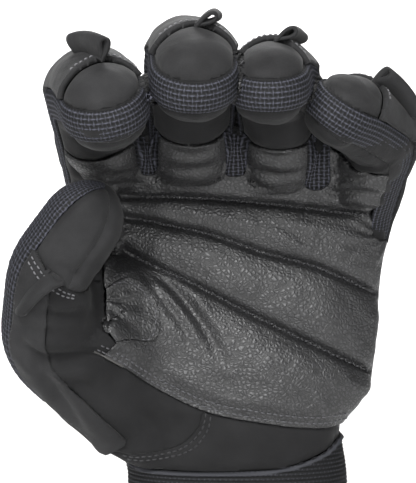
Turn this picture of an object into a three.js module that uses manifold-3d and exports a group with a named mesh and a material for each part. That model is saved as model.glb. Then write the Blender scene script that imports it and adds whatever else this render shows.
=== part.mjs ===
// Weightlifting glove for the left hand, worn and curled, palm towards -Y, fingers up, thumb at -X.
// Millimetres, +Z up. The origin is the middle of the wrist opening.
import * as THREE from 'three';
import { mergeVertices } from 'three/addons/utils/BufferGeometryUtils.js';
import Module from 'manifold-3d';

const wasm = await Module();
wasm.setup();

// Driving sizes
const palmWidth = 100;
const palmThickness = 34;
const palmLength = 92;
const cuffHeight = 34;
const cuffWidth = 73;
const cuffDepth = 44;
const fingerLength = 92;
const fingerWidth = 26;
const fingerDepth = 25;
const thumbLength = 100;
const thumbWidth = 26;
const thumbDepth = 25;
const webThickness = 24;
const wall = 2;
const seamDepth = 1.2;
const padRise = 0.9;
const bandWidth = 10;
const capLength = 24;
const tabLength = 13;
const tabHeight = 7.5;
const tabThickness = 3.6;
const tabWall = 1;
const gussetWidth = 9;
const gap = 0.3;

// How finely the round shapes are cut
const bodySides = 22;
const fingerSides = 10;
const innerSides = 8;
const outlineSteps = 6;
const curveSteps = 2;

const rad = THREE.MathUtils.degToRad;
const V = (x, y, z) => new THREE.Vector3(x, y, z);

// Rings of the hand: heights at the thumb side and the little finger's side, in palm lengths above the
// cuff; sides in palm widths from the middle; front and back in palm thicknesses; dent is the share of
// the seam's depth that the ring is pulled in by, or with a minus sign the share of the pad's rise.
const handRings = [
  { thumbSide: 0.10, littleSide: 0.12, left: 0.400, right: 0.338, front: 0.62, back: 0.52, dent: 0 },
  { thumbSide: 0.26, littleSide: 0.205, left: 0.440, right: 0.385, front: 0.60, back: 0.48, dent: 0 },
  { thumbSide: 0.52, littleSide: 0.265, left: 0.455, right: 0.432, front: 0.59, back: 0.45, dent: -0.8 },
  { thumbSide: 0.770, littleSide: 0.30, left: 0.460, right: 0.440, front: 0.55, back: 0.44, dent: -0.2 },
  { thumbSide: 0.790, littleSide: 0.325, left: 0.462, right: 0.440, front: 0.54, back: 0.44, dent: 1 },
  { thumbSide: 0.810, littleSide: 0.35, left: 0.465, right: 0.442, front: 0.53, back: 0.43, dent: -0.2 },
  { thumbSide: 0.845, littleSide: 0.47, left: 0.470, right: 0.452, front: 0.52, back: 0.42, dent: -1 },
  { thumbSide: 0.875, littleSide: 0.59, left: 0.475, right: 0.455, front: 0.51, back: 0.41, dent: -0.2 },
  { thumbSide: 0.891, littleSide: 0.615, left: 0.478, right: 0.458, front: 0.50, back: 0.41, dent: 1 },
  { thumbSide: 0.907, littleSide: 0.64, left: 0.482, right: 0.462, front: 0.50, back: 0.41, dent: -0.2 },
  { thumbSide: 0.925, littleSide: 0.74, left: 0.490, right: 0.475, front: 0.50, back: 0.40, dent: -1 },
  { thumbSide: 0.941, littleSide: 0.85, left: 0.500, right: 0.490, front: 0.49, back: 0.40, dent: -0.2 },
  { thumbSide: 0.955, littleSide: 0.875, left: 0.505, right: 0.492, front: 0.48, back: 0.40, dent: 1 },
  { thumbSide: 0.972, littleSide: 0.90, left: 0.510, right: 0.495, front: 0.48, back: 0.40, dent: -0.2 },
  { thumbSide: 1.015, littleSide: 0.955, left: 0.505, right: 0.490, front: 0.44, back: 0.37, dent: 0 },
  { thumbSide: 1.055, littleSide: 0.995, left: 0.440, right: 0.420, front: 0.24, back: 0.22, dent: 0 },
];

// Fingers: base in palm widths, thicknesses and lengths; how far each leans out (splay) and turns
// towards its neighbours (turn); the pitch of its three bones (flex, degrees from straight); the bones'
// lengths in finger lengths; width, depth and cap in finger widths, depths and cap lengths; the tab's lean.
const fingers = [
  { name: 'index', x: -0.432, y: -0.06, z: 0.97, splay: -15, turn: 6, flex: [50, 96, 126],
    bones: [0.455, 0.27, 0.24], width: 0.97, depth: 1.00, cap: 0.84, tabLean: 6 },
  { name: 'middle', x: -0.154, y: -0.06, z: 1.00, splay: -1, turn: 1, flex: [47, 94, 130],
    bones: [0.52, 0.27, 0.24], width: 1.00, depth: 1.02, cap: 1.02, tabLean: 62 },
  { name: 'ring', x: 0.123, y: -0.06, z: 0.98, splay: 5, turn: -4, flex: [48, 92, 119],
    bones: [0.46, 0.27, 0.22], width: 0.92, depth: 1.00, cap: 0.94, tabLean: 60 },
  { name: 'little', x: 0.388, y: -0.04, z: 0.88, splay: 53, turn: -26, flex: [60, 96, 110],
    bones: [0.36, 0.21, 0.20], width: 0.90, depth: 0.98, cap: 0.88, tabLean: 30 },
];

// Thumb: the same, with its plane given by the direction of its first bone and the side it bends to
const thumb = {
  name: 'thumb', x: -0.31, y: -0.25, z: 0.10, flex: [0, 44, 74], bones: [0.46, 0.24, 0.32],
  first: [-0.62, -0.38, 0.69], towards: [0.50, -0.30, 0.81], width: 1.0, depth: 1.08,
};

// Solids from rings of points and from closed three.js geometries
function solidOf(positions, triangles) {
  const mesh = { numProp: 3, vertProperties: new Float32Array(positions), triVerts: new Uint32Array(triangles) };
  const made = new wasm.Manifold(new wasm.Mesh(mesh));
  if (made.volume() > 0) return made;
  for (let i = 0; i < triangles.length; i += 3) {
    [triangles[i + 1], triangles[i + 2]] = [triangles[i + 2], triangles[i + 1]];
  }
  mesh.triVerts = new Uint32Array(triangles);
  return new wasm.Manifold(new wasm.Mesh(mesh));
}

function loft(rings) {
  const count = rings[0].length;
  const positions = rings.flat().flatMap((p) => [p.x, p.y, p.z]);
  const triangles = [];
  for (let ring = 0; ring + 1 < rings.length; ring++) {
    for (let i = 0; i < count; i++) {
      const a = ring * count + i;
      const b = ring * count + (i + 1) % count;
      triangles.push(a, b, a + count, b, b + count, a + count);
    }
  }
  for (const [ring, turn] of [[0, 1], [rings.length - 1, 0]]) {
    const middle = rings[ring].reduce((sum, p) => sum.add(p), V(0, 0, 0)).divideScalar(count);
    const centre = positions.push(middle.x, middle.y, middle.z) / 3 - 1;
    for (let i = 0; i < count; i++) {
      const a = ring * count + i;
      const b = ring * count + (i + 1) % count;
      if (turn) triangles.push(centre, b, a);
      else triangles.push(centre, a, b);
    }
  }
  return solidOf(positions, triangles);
}

function prism(outline, depth, place) {
  const shape = new THREE.Shape(outline.map(([x, y]) => new THREE.Vector2(x, y)));
  const geometry = new THREE.ExtrudeGeometry(shape, { depth, bevelEnabled: false });
  geometry.applyMatrix4(place);
  geometry.deleteAttribute('normal');
  geometry.deleteAttribute('uv');
  const merged = mergeVertices(geometry, 1e-4);
  return solidOf([...merged.attributes.position.array], [...merged.index.array]);
}

function joined(solids) {
  return solids.reduce((sum, solid) => sum.add(solid));
}

// The hand: a superellipse at each ring, its front pulled in along the sewn channels
const ease = (t) => {
  const u = Math.min(Math.max(t, 0), 1);
  return u * u * (3 - 2 * u);
};
const squareness = 2.7;
function ovalPoint(angle, left, right, front, back, power) {
  const c = Math.cos(angle);
  const s = Math.sin(angle);
  const x = Math.sign(c) * Math.abs(c) ** (2 / power) * (right + left) / 2 + (right - left) / 2;
  const y = Math.sign(s) * Math.abs(s) ** (2 / power) * (front + back) / 2 + (back - front) / 2;
  return [x, y];
}

function handSolid(inset) {
  const sides = inset > 0 ? 2 * innerSides : bodySides;
  const rings = [];
  const cuffRings = [[inset > 0 ? -0.2 : 0, 1], [0.5, 0.98], [1, 0.975]];
  for (const [height, swell] of cuffRings) {
    const ring = [];
    for (let i = 0; i < sides; i++) {
      const halfWidth = cuffWidth / 2 * swell - inset;
      const halfDepth = cuffDepth / 2 * swell - inset;
      const [x, y] = ovalPoint(i / sides * 2 * Math.PI, halfWidth, halfWidth, halfDepth, halfDepth, 2.2);
      ring.push(V(x, y, height * cuffHeight));
    }
    rings.push(ring);
  }
  const rows = inset > 0 ? handRings.filter(({ dent }) => dent === 0 || dent <= -0.8) : handRings;
  rows.forEach((row) => {
    const left = row.left * palmWidth - inset;
    const right = row.right * palmWidth - inset;
    const front = row.front * palmThickness - inset;
    const back = row.back * palmThickness - inset;
    const shift = row.dent > 0 ? row.dent * seamDepth : row.dent * padRise;
    const ring = [];
    for (let i = 0; i < sides; i++) {
      const angle = i / sides * 2 * Math.PI;
      const [x, y] = ovalPoint(angle, left, right, front, back, squareness);
      const across = (x + left) / (left + right);
      const height = THREE.MathUtils.lerp(row.thumbSide, row.littleSide, across) * palmLength;
      const onFront = ease(-Math.sin(angle) * 2);
      ring.push(V(x, y + (inset > 0 ? 0 : shift * onFront), cuffHeight + height - inset * ease((height / palmLength - 0.9) * 8)));
    }
    rings.push(ring);
  });
  return loft(rings);
}

// A limb's middle line: it lies in the plane of two directions and bends from bone to bone
const bendShare = 0.16;
const lineStep = 0.5;
function limbOf(row, base, first, towards, length, width, depth) {
  const bones = row.bones.map((share) => share * length);
  const total = bones.reduce((sum, bone) => sum + bone, 0);
  const run = bendShare * length;
  const joints = [0, bones[0], bones[0] + bones[1]];
  const pitches = [0, ...row.flex.map(rad)];
  const pitchAt = (s) => joints.reduce(
    (pitch, joint, i) => pitch + (pitches[i + 1] - pitches[i]) * ease((s - joint) / run + 0.5), 0);
  const line = [];
  const point = base.clone().addScaledVector(first, -run);
  for (let s = -run; s <= total + 2 * run; s += lineStep) {
    const pitch = pitchAt(s);
    const direction = first.clone().multiplyScalar(Math.cos(pitch)).addScaledVector(towards, Math.sin(pitch));
    const outer = first.clone().multiplyScalar(Math.sin(pitch)).addScaledVector(towards, -Math.cos(pitch));
    line.push({ point: point.clone(), direction, outer });
    point.addScaledVector(direction, lineStep);
  }
  const at = (s) => line[Math.min(Math.max(Math.round((s + run) / lineStep), 0), line.length - 1)];
  return { ...row, total, run, joints, side: first.clone().cross(towards), at, width, depth };
}

// A place at s along a limb, n outwards and t sideways
function along(limb, s, [n, t]) {
  const { point, outer } = limb.at(s);
  return point.clone().addScaledVector(outer, n).addScaledVector(limb.side, t);
}

// Girth along a limb: fuller at the knuckle, slimmer towards the tip, which is a dome
const knuckleSwell = 0.05;
const tipTaper = 0.10;
const tipRound = 0.52;
function girthAt(limb, s) {
  const fromKnuckle = (s - limb.joints[1]) / (limb.total - limb.joints[1]);
  return (1 - tipTaper * ease(fromKnuckle)) * (1 + knuckleSwell * Math.exp(-((fromKnuckle * 4) ** 2)));
}

function oval(halfWidth, halfDepth, power, sides = fingerSides) {
  return Array.from({ length: sides }, (_, i) => {
    const [t, n] = ovalPoint((i + 0.5) / sides * 2 * Math.PI, halfWidth, halfWidth, halfDepth, halfDepth, power);
    return [n, t];
  });
}

const domeAngles = [34, 62, 82];
const innerDome = [45, 78];
function stationsOf(limb) {
  const [, knuckle, last] = limb.joints;
  const half = limb.run / 2;
  return [-limb.run, -half / 2, half, knuckle - half, knuckle, knuckle + half, last,
    limb.total - limb.width * tipRound];
}
function limbSolid(limb, inset) {
  const dome = limb.width * tipRound;
  const rings = stationsOf(limb).map((s) => ({ s, share: 1 }));
  for (const angle of (inset > 0 ? innerDome : domeAngles).map(rad)) {
    rings.push({ s: limb.total - inset - dome + dome * Math.sin(angle), share: Math.cos(angle) });
  }
  return loft(rings.map(({ s, share }) => {
    const girth = girthAt(limb, s);
    const halfWidth = (limb.width / 2 * girth - inset) * share;
    const halfDepth = (limb.depth / 2 * girth - inset) * share;
    return oval(halfWidth, halfDepth, 2.2, inset > 0 ? innerSides : fingerSides).map((place) => along(limb, s, place));
  }));
}

// A cutter: one outline in a limb's own section (n outwards, t sideways), swept from s to s
function sweep(limb, from, to, outline) {
  const between = stationsOf(limb).filter((s) => s > from + 1 && s < to - 1);
  return loft([from, ...between, to].map((s) => outline.map((place) => along(limb, s, place))));
}

const slab = (low, high, left, right) => [[low, left], [high, left], [high, right], [low, right]];

// The limbs
const palmBase = (row) => V(row.x * palmWidth, row.y * palmThickness, cuffHeight + row.z * palmLength);
const limbs = fingers.map((row) => {
  const up = V(Math.sin(rad(row.splay)), 0, Math.cos(rad(row.splay)));
  const forward = V(0, -1, 0).applyAxisAngle(up, rad(row.turn));
  return limbOf(row, palmBase(row), up, forward, fingerLength, fingerWidth * row.width, fingerDepth * row.depth);
});
const thumbFirst = V(...thumb.first).normalize();
const thumbTowards = V(...thumb.towards);
thumbTowards.addScaledVector(thumbFirst, -thumbTowards.dot(thumbFirst)).normalize();
const thumbLimb = limbOf(thumb, palmBase(thumb), thumbFirst, thumbTowards, thumbLength,
  thumbDepth * thumb.depth, thumbWidth * thumb.width);

// The ball of the thumb: share of the first bone, swell of the limb's depth
const ballRings = [[-0.1, 0.75], [0.2, 1.15], [0.55, 1.32], [0.9, 1.15], [1.1, 0.8]];
function thumbBall(inset) {
  return loft(ballRings.map(([share, swell]) => {
    const s = share * thumbLimb.joints[1];
    const shape = oval(thumbLimb.width / 2 - inset, thumbLimb.depth / 2 * swell - inset, 2);
    return shape.map(([n, t]) => along(thumbLimb, s, [n - 0.12 * thumbLimb.depth, t + 0.14 * thumbLimb.width]));
  }));
}

// The web between the palm and the thumb's knuckle: share of the way, half height, half thickness
const webRings = [[0, 1.0, 0.60], [0.33, 0.86, 0.54], [0.66, 0.68, 0.49], [1, 0.52, 0.44]];
function web(inset) {
  const palmEnd = V(-0.20 * palmWidth, -0.02 * palmThickness, cuffHeight + 0.46 * palmLength);
  const thumbEnd = along(thumbLimb, thumbLimb.joints[1], [-0.08 * thumbDepth, 0]);
  const axis = thumbEnd.clone().sub(palmEnd).normalize();
  const upwards = V(0, 0, 1).addScaledVector(axis, -axis.z).normalize();
  const through = axis.clone().cross(upwards);
  return loft(webRings.map(([share, height, thickness]) => {
    const middle = palmEnd.clone().lerp(thumbEnd, share);
    const shape = oval(height * webThickness - inset, thickness * webThickness - inset, 2);
    return shape.map(([n, t]) => middle.clone().addScaledVector(upwards, t).addScaledVector(through, n));
  }));
}

const form = (inset) => joined([
  handSolid(inset), thumbBall(inset), web(inset), limbSolid(thumbLimb, inset),
  ...limbs.map((limb) => limbSolid(limb, inset)),
]);
let rest = form(0).subtract(form(wall));
const pieces = {};
function carve(name, look, cutterOf) {
  pieces[name] = { solid: rest.intersect(cutterOf(0)), look };
  rest = rest.subtract(cutterOf(gap));
}

// Materials
const leather = { color: 0x3c3c3e, roughness: 0.5, metalness: 0 };
const fabric = { color: 0x2a2a2c, roughness: 0.85, metalness: 0 };
const knit = { color: 0x35363d, roughness: 0.95, metalness: 0 };

// Cutters seen from the front: outlines in palm widths and in palm lengths above the cuff
const clear = 2 * (fingerLength + palmThickness);
const upright = new THREE.Matrix4().makeBasis(V(1, 0, 0), V(0, 1, 0), V(0, 0, 1)).setPosition(0, 0, -clear);
function frontHalf(grow) {
  const line = [[-0.66, -1.23], [-0.43, -0.58], [-0.30, 0.076], [1, 0.076]];
  const seam = line.map(([x, y]) => [x * palmWidth, y * palmThickness + grow]);
  return prism([[palmWidth, -clear], ...seam.reverse(), [-0.66 * palmWidth, -clear]], 3 * clear, upright);
}
function frontPrism(points, grow = clear) {
  const place = new THREE.Matrix4().makeBasis(V(1, 0, 0), V(0, 0, 1), V(0, -1, 0)).setPosition(0, clear, 0);
  const solid = prism(points, 2 * clear, place);
  return grow === clear ? solid : solid.intersect(frontHalf(grow));
}
const onPalm = ([x, z]) => new THREE.Vector2(x * palmWidth, cuffHeight + z * palmLength);
const curve = (points) => new THREE.SplineCurve(points.map(onPalm)).getPoints(curveSteps * (points.length - 1));
const lifted = (points, lift, aside = 0) => points.map((p) => [p.x + aside, p.y + lift]);

// Wrist cuff: its upper edge dips in the middle
const cuffEdge = curve([[-0.60, 0.13], [-0.40, 0.085], [-0.20, 0.012], [0, -0.005], [0.20, 0.015],
  [0.40, 0.10], [0.60, 0.15]]);
carve('wrist_cuff', knit, (grow) => frontPrism(
  [...lifted(cuffEdge, grow), [0.6 * palmWidth, -clear], [-0.6 * palmWidth, -clear]]));

// A wedge of a limb's section, between two angles from the outer side towards the front
function wedge([from, to], reach, grow) {
  const apex = rad((from + to) / 2);
  const back = grow / Math.sin(rad((to - from) / 2));
  const [n, t] = [-back * Math.cos(apex), back * Math.sin(apex)];
  const steps = Math.max(2, Math.ceil((to - from) / 30));
  const rim = Array.from({ length: steps + 1 }, (_, i) => rad(from + (to - from) * i / steps));
  return [[n, t], ...rim.map((angle) => [n + reach * Math.cos(angle), t - reach * Math.sin(angle)])];
}

// Thumb: knit strip on the outer side, then cap and pad above the hem at the last joint
const thumbHem = thumbLimb.joints[2] - 0.02 * thumbLength;
const pastTip = 3;
const thumbEnd = thumbLimb.total + pastTip;
const bandAngles = [-8, 44];
const capAngles = [44, 126];
const backAngles = [44, 88];
const thumbReach = 0.95 * thumbWidth;
const hugSide = (limb, grow) => limb.width * (1 + knuckleSwell) / 2 + 0.6 * gap + grow;
const hugBack = (limb, grow) => limb.depth * (1 + knuckleSwell) / 2 + 1 + grow;
carve('thumb_knit_band', knit, (grow) => sweep(thumbLimb, 0.34 * thumbLength - grow, thumbEnd,
  wedge(bandAngles, thumbReach, grow)));
carve('thumb_nail_cap', fabric, (grow) => sweep(thumbLimb, thumbHem - grow, thumbEnd,
  wedge(capAngles, thumbReach, grow)));
carve('thumb_tip_pad', fabric, (grow) => sweep(thumbLimb, thumbHem - grow, thumbEnd,
  oval(hugSide(thumbLimb, grow + 0.5), hugBack(thumbLimb, grow), 2.4)));
carve('thumb_back_panel', fabric, (grow) => sweep(thumbLimb, 0.10 * thumbLength - grow, thumbHem,
  wedge(backAngles, thumbReach, grow)));

// Fingers: knit strip round both sides and the tip, cap up to the arched seam, back and pad
const halfBand = bandWidth / 2;
const panelStart = -0.015 * fingerLength;
const padStart = 0.30 * fingerLength;
const archRise = (limb) => 0.55 * capLength * limb.cap;
const archFoot = (limb) => limb.total - 0.42 * capLength * limb.cap;
const archPower = 1.6;
function archOutline(limb, grow) {
  const half = limb.width / 2 + 3;
  const points = [];
  for (let i = 0; i <= outlineSteps; i++) {
    const across = i / outlineSteps * 2 - 1;
    points.push([across * half, (Math.abs(across) ** archPower - 1) * archRise(limb) - grow]);
  }
  return [...points, [half, 2 * capLength], [-half, 2 * capLength]];
}
function archPrism(limb, grow) {
  const { point, direction, outer } = limb.at(archFoot(limb));
  const high = 1.2 * fingerDepth;
  const place = new THREE.Matrix4().makeBasis(limb.side, direction, outer.clone().negate());
  place.setPosition(point.clone().addScaledVector(outer, high));
  return prism(archOutline(limb, grow), high, place);
}
limbs.forEach((limb) => {
  const end = limb.total + pastTip;
  const section = (low, high, grow) => slab(low, high, -hugSide(limb, grow), hugSide(limb, grow));
  const backSlab = (from, grow) => sweep(limb, from - grow, end, section(0, hugBack(limb, grow), grow));
  carve(`${limb.name}_knit_band`, knit, (grow) => sweep(limb, panelStart - grow, end,
    section(-halfBand - grow, halfBand + grow, grow)));
  carve(`${limb.name}_nail_cap`, fabric, (grow) => archPrism(limb, grow).intersect(backSlab(padStart, grow)));
  carve(`${limb.name}_back_panel`, fabric, (grow) => backSlab(panelStart, grow));
  carve(`${limb.name}_tip_pad`, fabric, (grow) => sweep(limb, padStart - grow, end,
    section(-hugBack(limb, grow), 0, grow)));
});

// Knit tongues between the fingers: middle in palm widths, foot in palm lengths
const gussets = [
  { name: 'index_middle', x: -0.294, foot: 0.985 },
  { name: 'middle_ring', x: -0.016, foot: 0.985 },
  { name: 'ring_little', x: 0.232, foot: 0.935 },
];
for (const { name, x, foot } of gussets) {
  carve(`${name}_gusset`, knit, (grow) => {
    const half = gussetWidth / 2 + grow;
    const points = [];
    const footHeight = cuffHeight + foot * palmLength;
    for (let i = 0; i <= outlineSteps; i++) {
      const angle = Math.PI * (1 + i / outlineSteps);
      points.push([x * palmWidth + half * Math.cos(angle), footHeight + half * (1 + Math.sin(angle)) - grow]);
    }
    const top = footHeight + 0.17 * palmLength;
    return frontPrism([...points, [x * palmWidth + half, top], [x * palmWidth - half, top]], grow);
  });
}

// Leather patch in the crotch of the thumb
const patchLoop = [[-0.52, 0.56], [-0.40, 0.60], [-0.30, 0.585], [-0.255, 0.52], [-0.262, 0.45],
  [-0.32, 0.425], [-0.42, 0.43], [-0.50, 0.455]];
const arc = curve([[-0.078, 0.18], [-0.088, 0.15], [-0.125, 0.11], [-0.19, 0.072], [-0.30, 0.055],
  [-0.42, 0.06], [-0.70, 0.03]]);
const hem = curve([[-0.60, 0.60], [-0.50, 0.46], [-0.35, 0.362], [-0.22, 0.265], [-0.095, 0.20], [0.07, 0.163],
  [0.22, 0.142], [0.34, 0.142], [0.60, 0.16]]);
carve('thumb_base_panel', fabric, (grow) => {
  const underHem = hem.filter((p) => p.x < -0.075 * palmWidth);
  const outline = [...lifted(underHem, grow), ...lifted(arc, -grow, grow), [-palmWidth, cuffHeight + 0.6 * palmLength]];
  return frontPrism(outline, grow).add(sweep(thumbLimb, 0.34 * thumbLength, thumbHem + wall,
    oval(hugSide(thumbLimb, grow + 0.5), hugBack(thumbLimb, grow), 2.4)));
});
carve('thumb_crotch_patch', leather, (grow) => {
  const loop = new THREE.SplineCurve([...patchLoop, patchLoop[0]].map(onPalm)).getPoints(3 * outlineSteps);
  const middle = onPalm([-0.39, 0.51]);
  return frontPrism(loop.slice(0, -1).map((p) => {
    const out = p.clone().sub(middle);
    return [p.x + out.x / out.length() * grow, p.y + out.y / out.length() * grow];
  }), grow);
});

// Palm leather above its hem, and the heel under it
carve('palm_leather', leather, (grow) => frontPrism(
  [...lifted(hem, -grow), [0.6 * palmWidth, clear], [-0.6 * palmWidth, clear]], grow));
carve('heel_panel', fabric, (grow) => frontPrism(
  [[-0.6 * palmWidth, -clear], [0.6 * palmWidth, -clear], [0.6 * palmWidth, clear], [-0.6 * palmWidth, clear]],
  grow));
pieces.back_panel = { solid: rest, look: fabric };

// Pull tabs: a strip folded into a drop-shaped loop, its axis along the limb
const dropSteps = 5;
function drop(limb, s, lean, around, shrink) {
  const height = tabHeight - 2 * shrink;
  const thick = tabThickness - 2 * shrink;
  const radius = limb.depth / 2 * girthAt(limb, s) + gap;
  const points = [];
  for (let i = 0; i < 2 * dropSteps; i++) {
    const turn = (i + 0.5) / dropSteps * Math.PI;
    const up = shrink + height * (1 - Math.cos(turn)) / 2;
    const wide = thick / 2 * Math.sin(turn) * (0.25 + 1.1 * Math.sin(turn / 2) ** 2);
    const [h, w] = [up * Math.cos(lean) - wide * Math.sin(lean), up * Math.sin(lean) + wide * Math.cos(lean)];
    const [n, t] = [radius + h, w];
    points.push([n * Math.cos(around) + t * Math.sin(around), t * Math.cos(around) - n * Math.sin(around)]);
  }
  return points;
}
function tab(limb, peak, lean, around) {
  const foot = peak - tabLength;
  const loop = sweep(limb, foot, peak, drop(limb, peak, rad(lean), rad(around), 0));
  const eye = sweep(limb, foot - 1, peak + 1, drop(limb, peak, rad(lean), rad(around), tabWall));
  return loop.subtract(eye).subtract(limbSolid(limb, -gap));
}
const bentRise = 0.75;
limbs.forEach((limb) => {
  const peak = archFoot(limb) - bentRise * archRise(limb);
  pieces[`${limb.name}_pull_tab`] = { solid: tab(limb, peak, limb.tabLean, 0), look: fabric };
});
pieces.thumb_pull_tab = { solid: tab(thumbLimb, thumbHem, -62, 78), look: fabric };

const glove = new THREE.Group();
for (const [name, { solid, look }] of Object.entries(pieces)) {
  const { numProp, vertProperties, triVerts } = solid.getMesh();
  const geometry = new THREE.BufferGeometry();
  const positions = new Float32Array(triVerts.length * 3);
  triVerts.forEach((v, i) => positions.set(vertProperties.subarray(v * numProp, v * numProp + 3), i * 3));
  geometry.setAttribute('position', new THREE.BufferAttribute(positions, 3));
  geometry.computeVertexNormals();
  const mesh = new THREE.Mesh(geometry, new THREE.MeshStandardMaterial(look));
  mesh.name = name;
  glove.add(mesh);
}

export default glove;
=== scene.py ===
"""Weightlifting glove for the left hand, worn and curled, made over its solids.

Shapes are worked out in millimetres in the frame of the solids: palm towards -Y, fingers up,
thumb at -X, origin in the middle of the wrist opening. Meshes are written in metres.
"""
import math
from types import SimpleNamespace

import bpy
import numpy as np
from mathutils.bvhtree import BVHTree
from mathutils.kdtree import KDTree
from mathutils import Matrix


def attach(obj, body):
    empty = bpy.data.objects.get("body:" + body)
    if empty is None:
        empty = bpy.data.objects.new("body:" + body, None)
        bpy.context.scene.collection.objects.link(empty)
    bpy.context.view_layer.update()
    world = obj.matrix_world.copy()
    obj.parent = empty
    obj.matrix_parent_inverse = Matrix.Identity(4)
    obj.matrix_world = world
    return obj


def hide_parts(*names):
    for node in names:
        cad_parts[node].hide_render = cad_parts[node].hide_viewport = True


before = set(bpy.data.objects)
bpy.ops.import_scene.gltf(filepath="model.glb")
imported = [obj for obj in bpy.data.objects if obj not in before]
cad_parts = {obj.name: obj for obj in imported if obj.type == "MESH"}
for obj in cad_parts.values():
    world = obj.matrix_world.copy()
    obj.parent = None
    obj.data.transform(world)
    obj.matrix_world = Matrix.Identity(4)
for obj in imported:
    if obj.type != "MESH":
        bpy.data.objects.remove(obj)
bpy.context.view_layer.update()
for obj in list(bpy.context.selected_objects):
    obj.select_set(False)

MM = 0.001
rng = np.random.default_rng(7)

# Driving sizes in millimetres, as the solids have them
PALM_WIDTH = 100.0
PALM_THICKNESS = 34.0
PALM_LENGTH = 92.0
CUFF_HEIGHT = 34.0
CUFF_WIDTH = 73.0
CUFF_DEPTH = 44.0
FINGER_LENGTH = 92.0
FINGER_WIDTH = 26.0
FINGER_DEPTH = 25.0
THUMB_LENGTH = 100.0
THUMB_WIDTH = 26.0
THUMB_DEPTH = 25.0
WEB_THICKNESS = 24.0
BAND_WIDTH = 10.0
CAP_LENGTH = 24.0
TAB_LENGTH = 13.0
TAB_HEIGHT = 7.5
TAB_THICKNESS = 3.6
TAB_WALL = 1.0
GUSSET_WIDTH = 9.0
CLOTH = 1.6
VOXEL = 1.1

# Rings of the hand: heights at the thumb side and the little finger's side in palm lengths above the
# cuff, sides in palm widths, front and back in palm thicknesses
HAND_RINGS = [
    # thumb side, little side, left, right, front, back
    (0.10, 0.12, 0.400, 0.338, 0.62, 0.52),
    (0.26, 0.205, 0.440, 0.385, 0.60, 0.48),
    (0.52, 0.265, 0.455, 0.432, 0.59, 0.45),
    (0.80, 0.34, 0.463, 0.441, 0.54, 0.43),
    (0.845, 0.47, 0.470, 0.452, 0.52, 0.42),
    (0.89, 0.615, 0.478, 0.458, 0.51, 0.41),
    (0.925, 0.74, 0.490, 0.475, 0.50, 0.40),
    (0.955, 0.875, 0.505, 0.492, 0.49, 0.40),
    (1.015, 0.955, 0.505, 0.490, 0.44, 0.37),
    (1.055, 0.995, 0.440, 0.420, 0.24, 0.22),
]

# Fingers, near those of the solids but set closer to the worn pose. Places are in the palm's sizes, bones
# and cap in the finger's and the cap's lengths, angles in degrees. Arch is how far the cap's arch sits to
# one side, in finger widths; lean tips the pull tab's loop, and slew swings its far end round the finger.
FINGERS = [
    dict(name="index", x=-0.425, y=-0.06, z=0.977, splay=-15, turn=8, flex=(52, 102, 121),
         bones=(0.455, 0.27, 0.24), width=1.00, depth=1.01, cap=0.84, lean=6, arch=0.10, slew=24),
    dict(name="middle", x=-0.156, y=-0.06, z=1.005, splay=-0.5, turn=2, flex=(48, 100, 123),
         bones=(0.52, 0.27, 0.24), width=1.01, depth=1.02, cap=1.02, lean=62, arch=0.0, slew=-8),
    dict(name="ring", x=0.143, y=-0.06, z=0.968, splay=2, turn=-7, flex=(45, 94, 113),
         bones=(0.46, 0.27, 0.22), width=0.92, depth=0.95, cap=0.94, lean=60, arch=0.02, slew=-10),
    dict(name="little", x=0.388, y=-0.02, z=0.89, splay=47, turn=-31, flex=(55, 105, 113),
         bones=(0.36, 0.21, 0.20), width=0.89, depth=0.93, cap=0.88, lean=30, arch=-0.07, slew=-38),
]
THUMB = dict(name="thumb", x=-0.31, y=-0.25, z=0.10, flex=(0, 44, 74), bones=(0.46, 0.24, 0.32),
             first=(-0.62, -0.38, 0.69), towards=(0.50, -0.30, 0.81), width=1.0, depth=1.08,
             lean=-62)

# Limbs: a middle line that bends from bone to bone in one plane, with an oval section and a domed tip
BEND_SHARE = 0.16
LINE_STEP = 1.0
OVAL_POWER = 2.2
KNUCKLE_SWELL = 0.05
KNUCKLE_FADE = 4
TIP_TAPER = 0.10
TIP_ROUND = 0.52

# How many points are placed at a time, and what keeps a division from nought
CHUNK = 20000
TINY = 1e-6
TINIER = 1e-12


def unit(v):
    """A direction made one long."""
    v = np.asarray(v, float)
    return v / np.linalg.norm(v)


def ease(t):
    """Rises smoothly from nought to one as t does."""
    u = np.clip(t, 0, 1)
    return u * u * (3 - 2 * u)


def limb_of(row, base, first, towards, length, width, depth):
    """A limb's middle line from its base, with the ways ahead, outwards and sideways along it."""
    bones = np.array(row["bones"]) * length
    total = bones.sum()
    run = BEND_SHARE * length
    joints = np.array([0, bones[0], bones[0] + bones[1]])
    pitches = np.radians((0,) + tuple(row["flex"]))
    s = np.arange(-run, total + run, LINE_STEP)
    pitch = sum((pitches[i + 1] - pitches[i]) * ease((s - joints[i]) / run + 0.5) for i in range(3))
    ahead = np.cos(pitch)[:, None] * first + np.sin(pitch)[:, None] * towards
    outer = np.sin(pitch)[:, None] * first - np.cos(pitch)[:, None] * towards
    line = base - run * first + np.vstack([np.zeros(3), np.cumsum(ahead[:-1] * LINE_STEP, axis=0)])
    return SimpleNamespace(**row, total=total, run=run, joints=joints, s=s, line=line, ahead=ahead,
                           outer=outer, side=np.cross(first, towards), wide=width, deep=depth)


def palm_place(x, y, z):
    """A place in millimetres from shares of the palm's width, thickness and length."""
    return np.array([x * PALM_WIDTH, y * PALM_THICKNESS, CUFF_HEIGHT + z * PALM_LENGTH])


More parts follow.
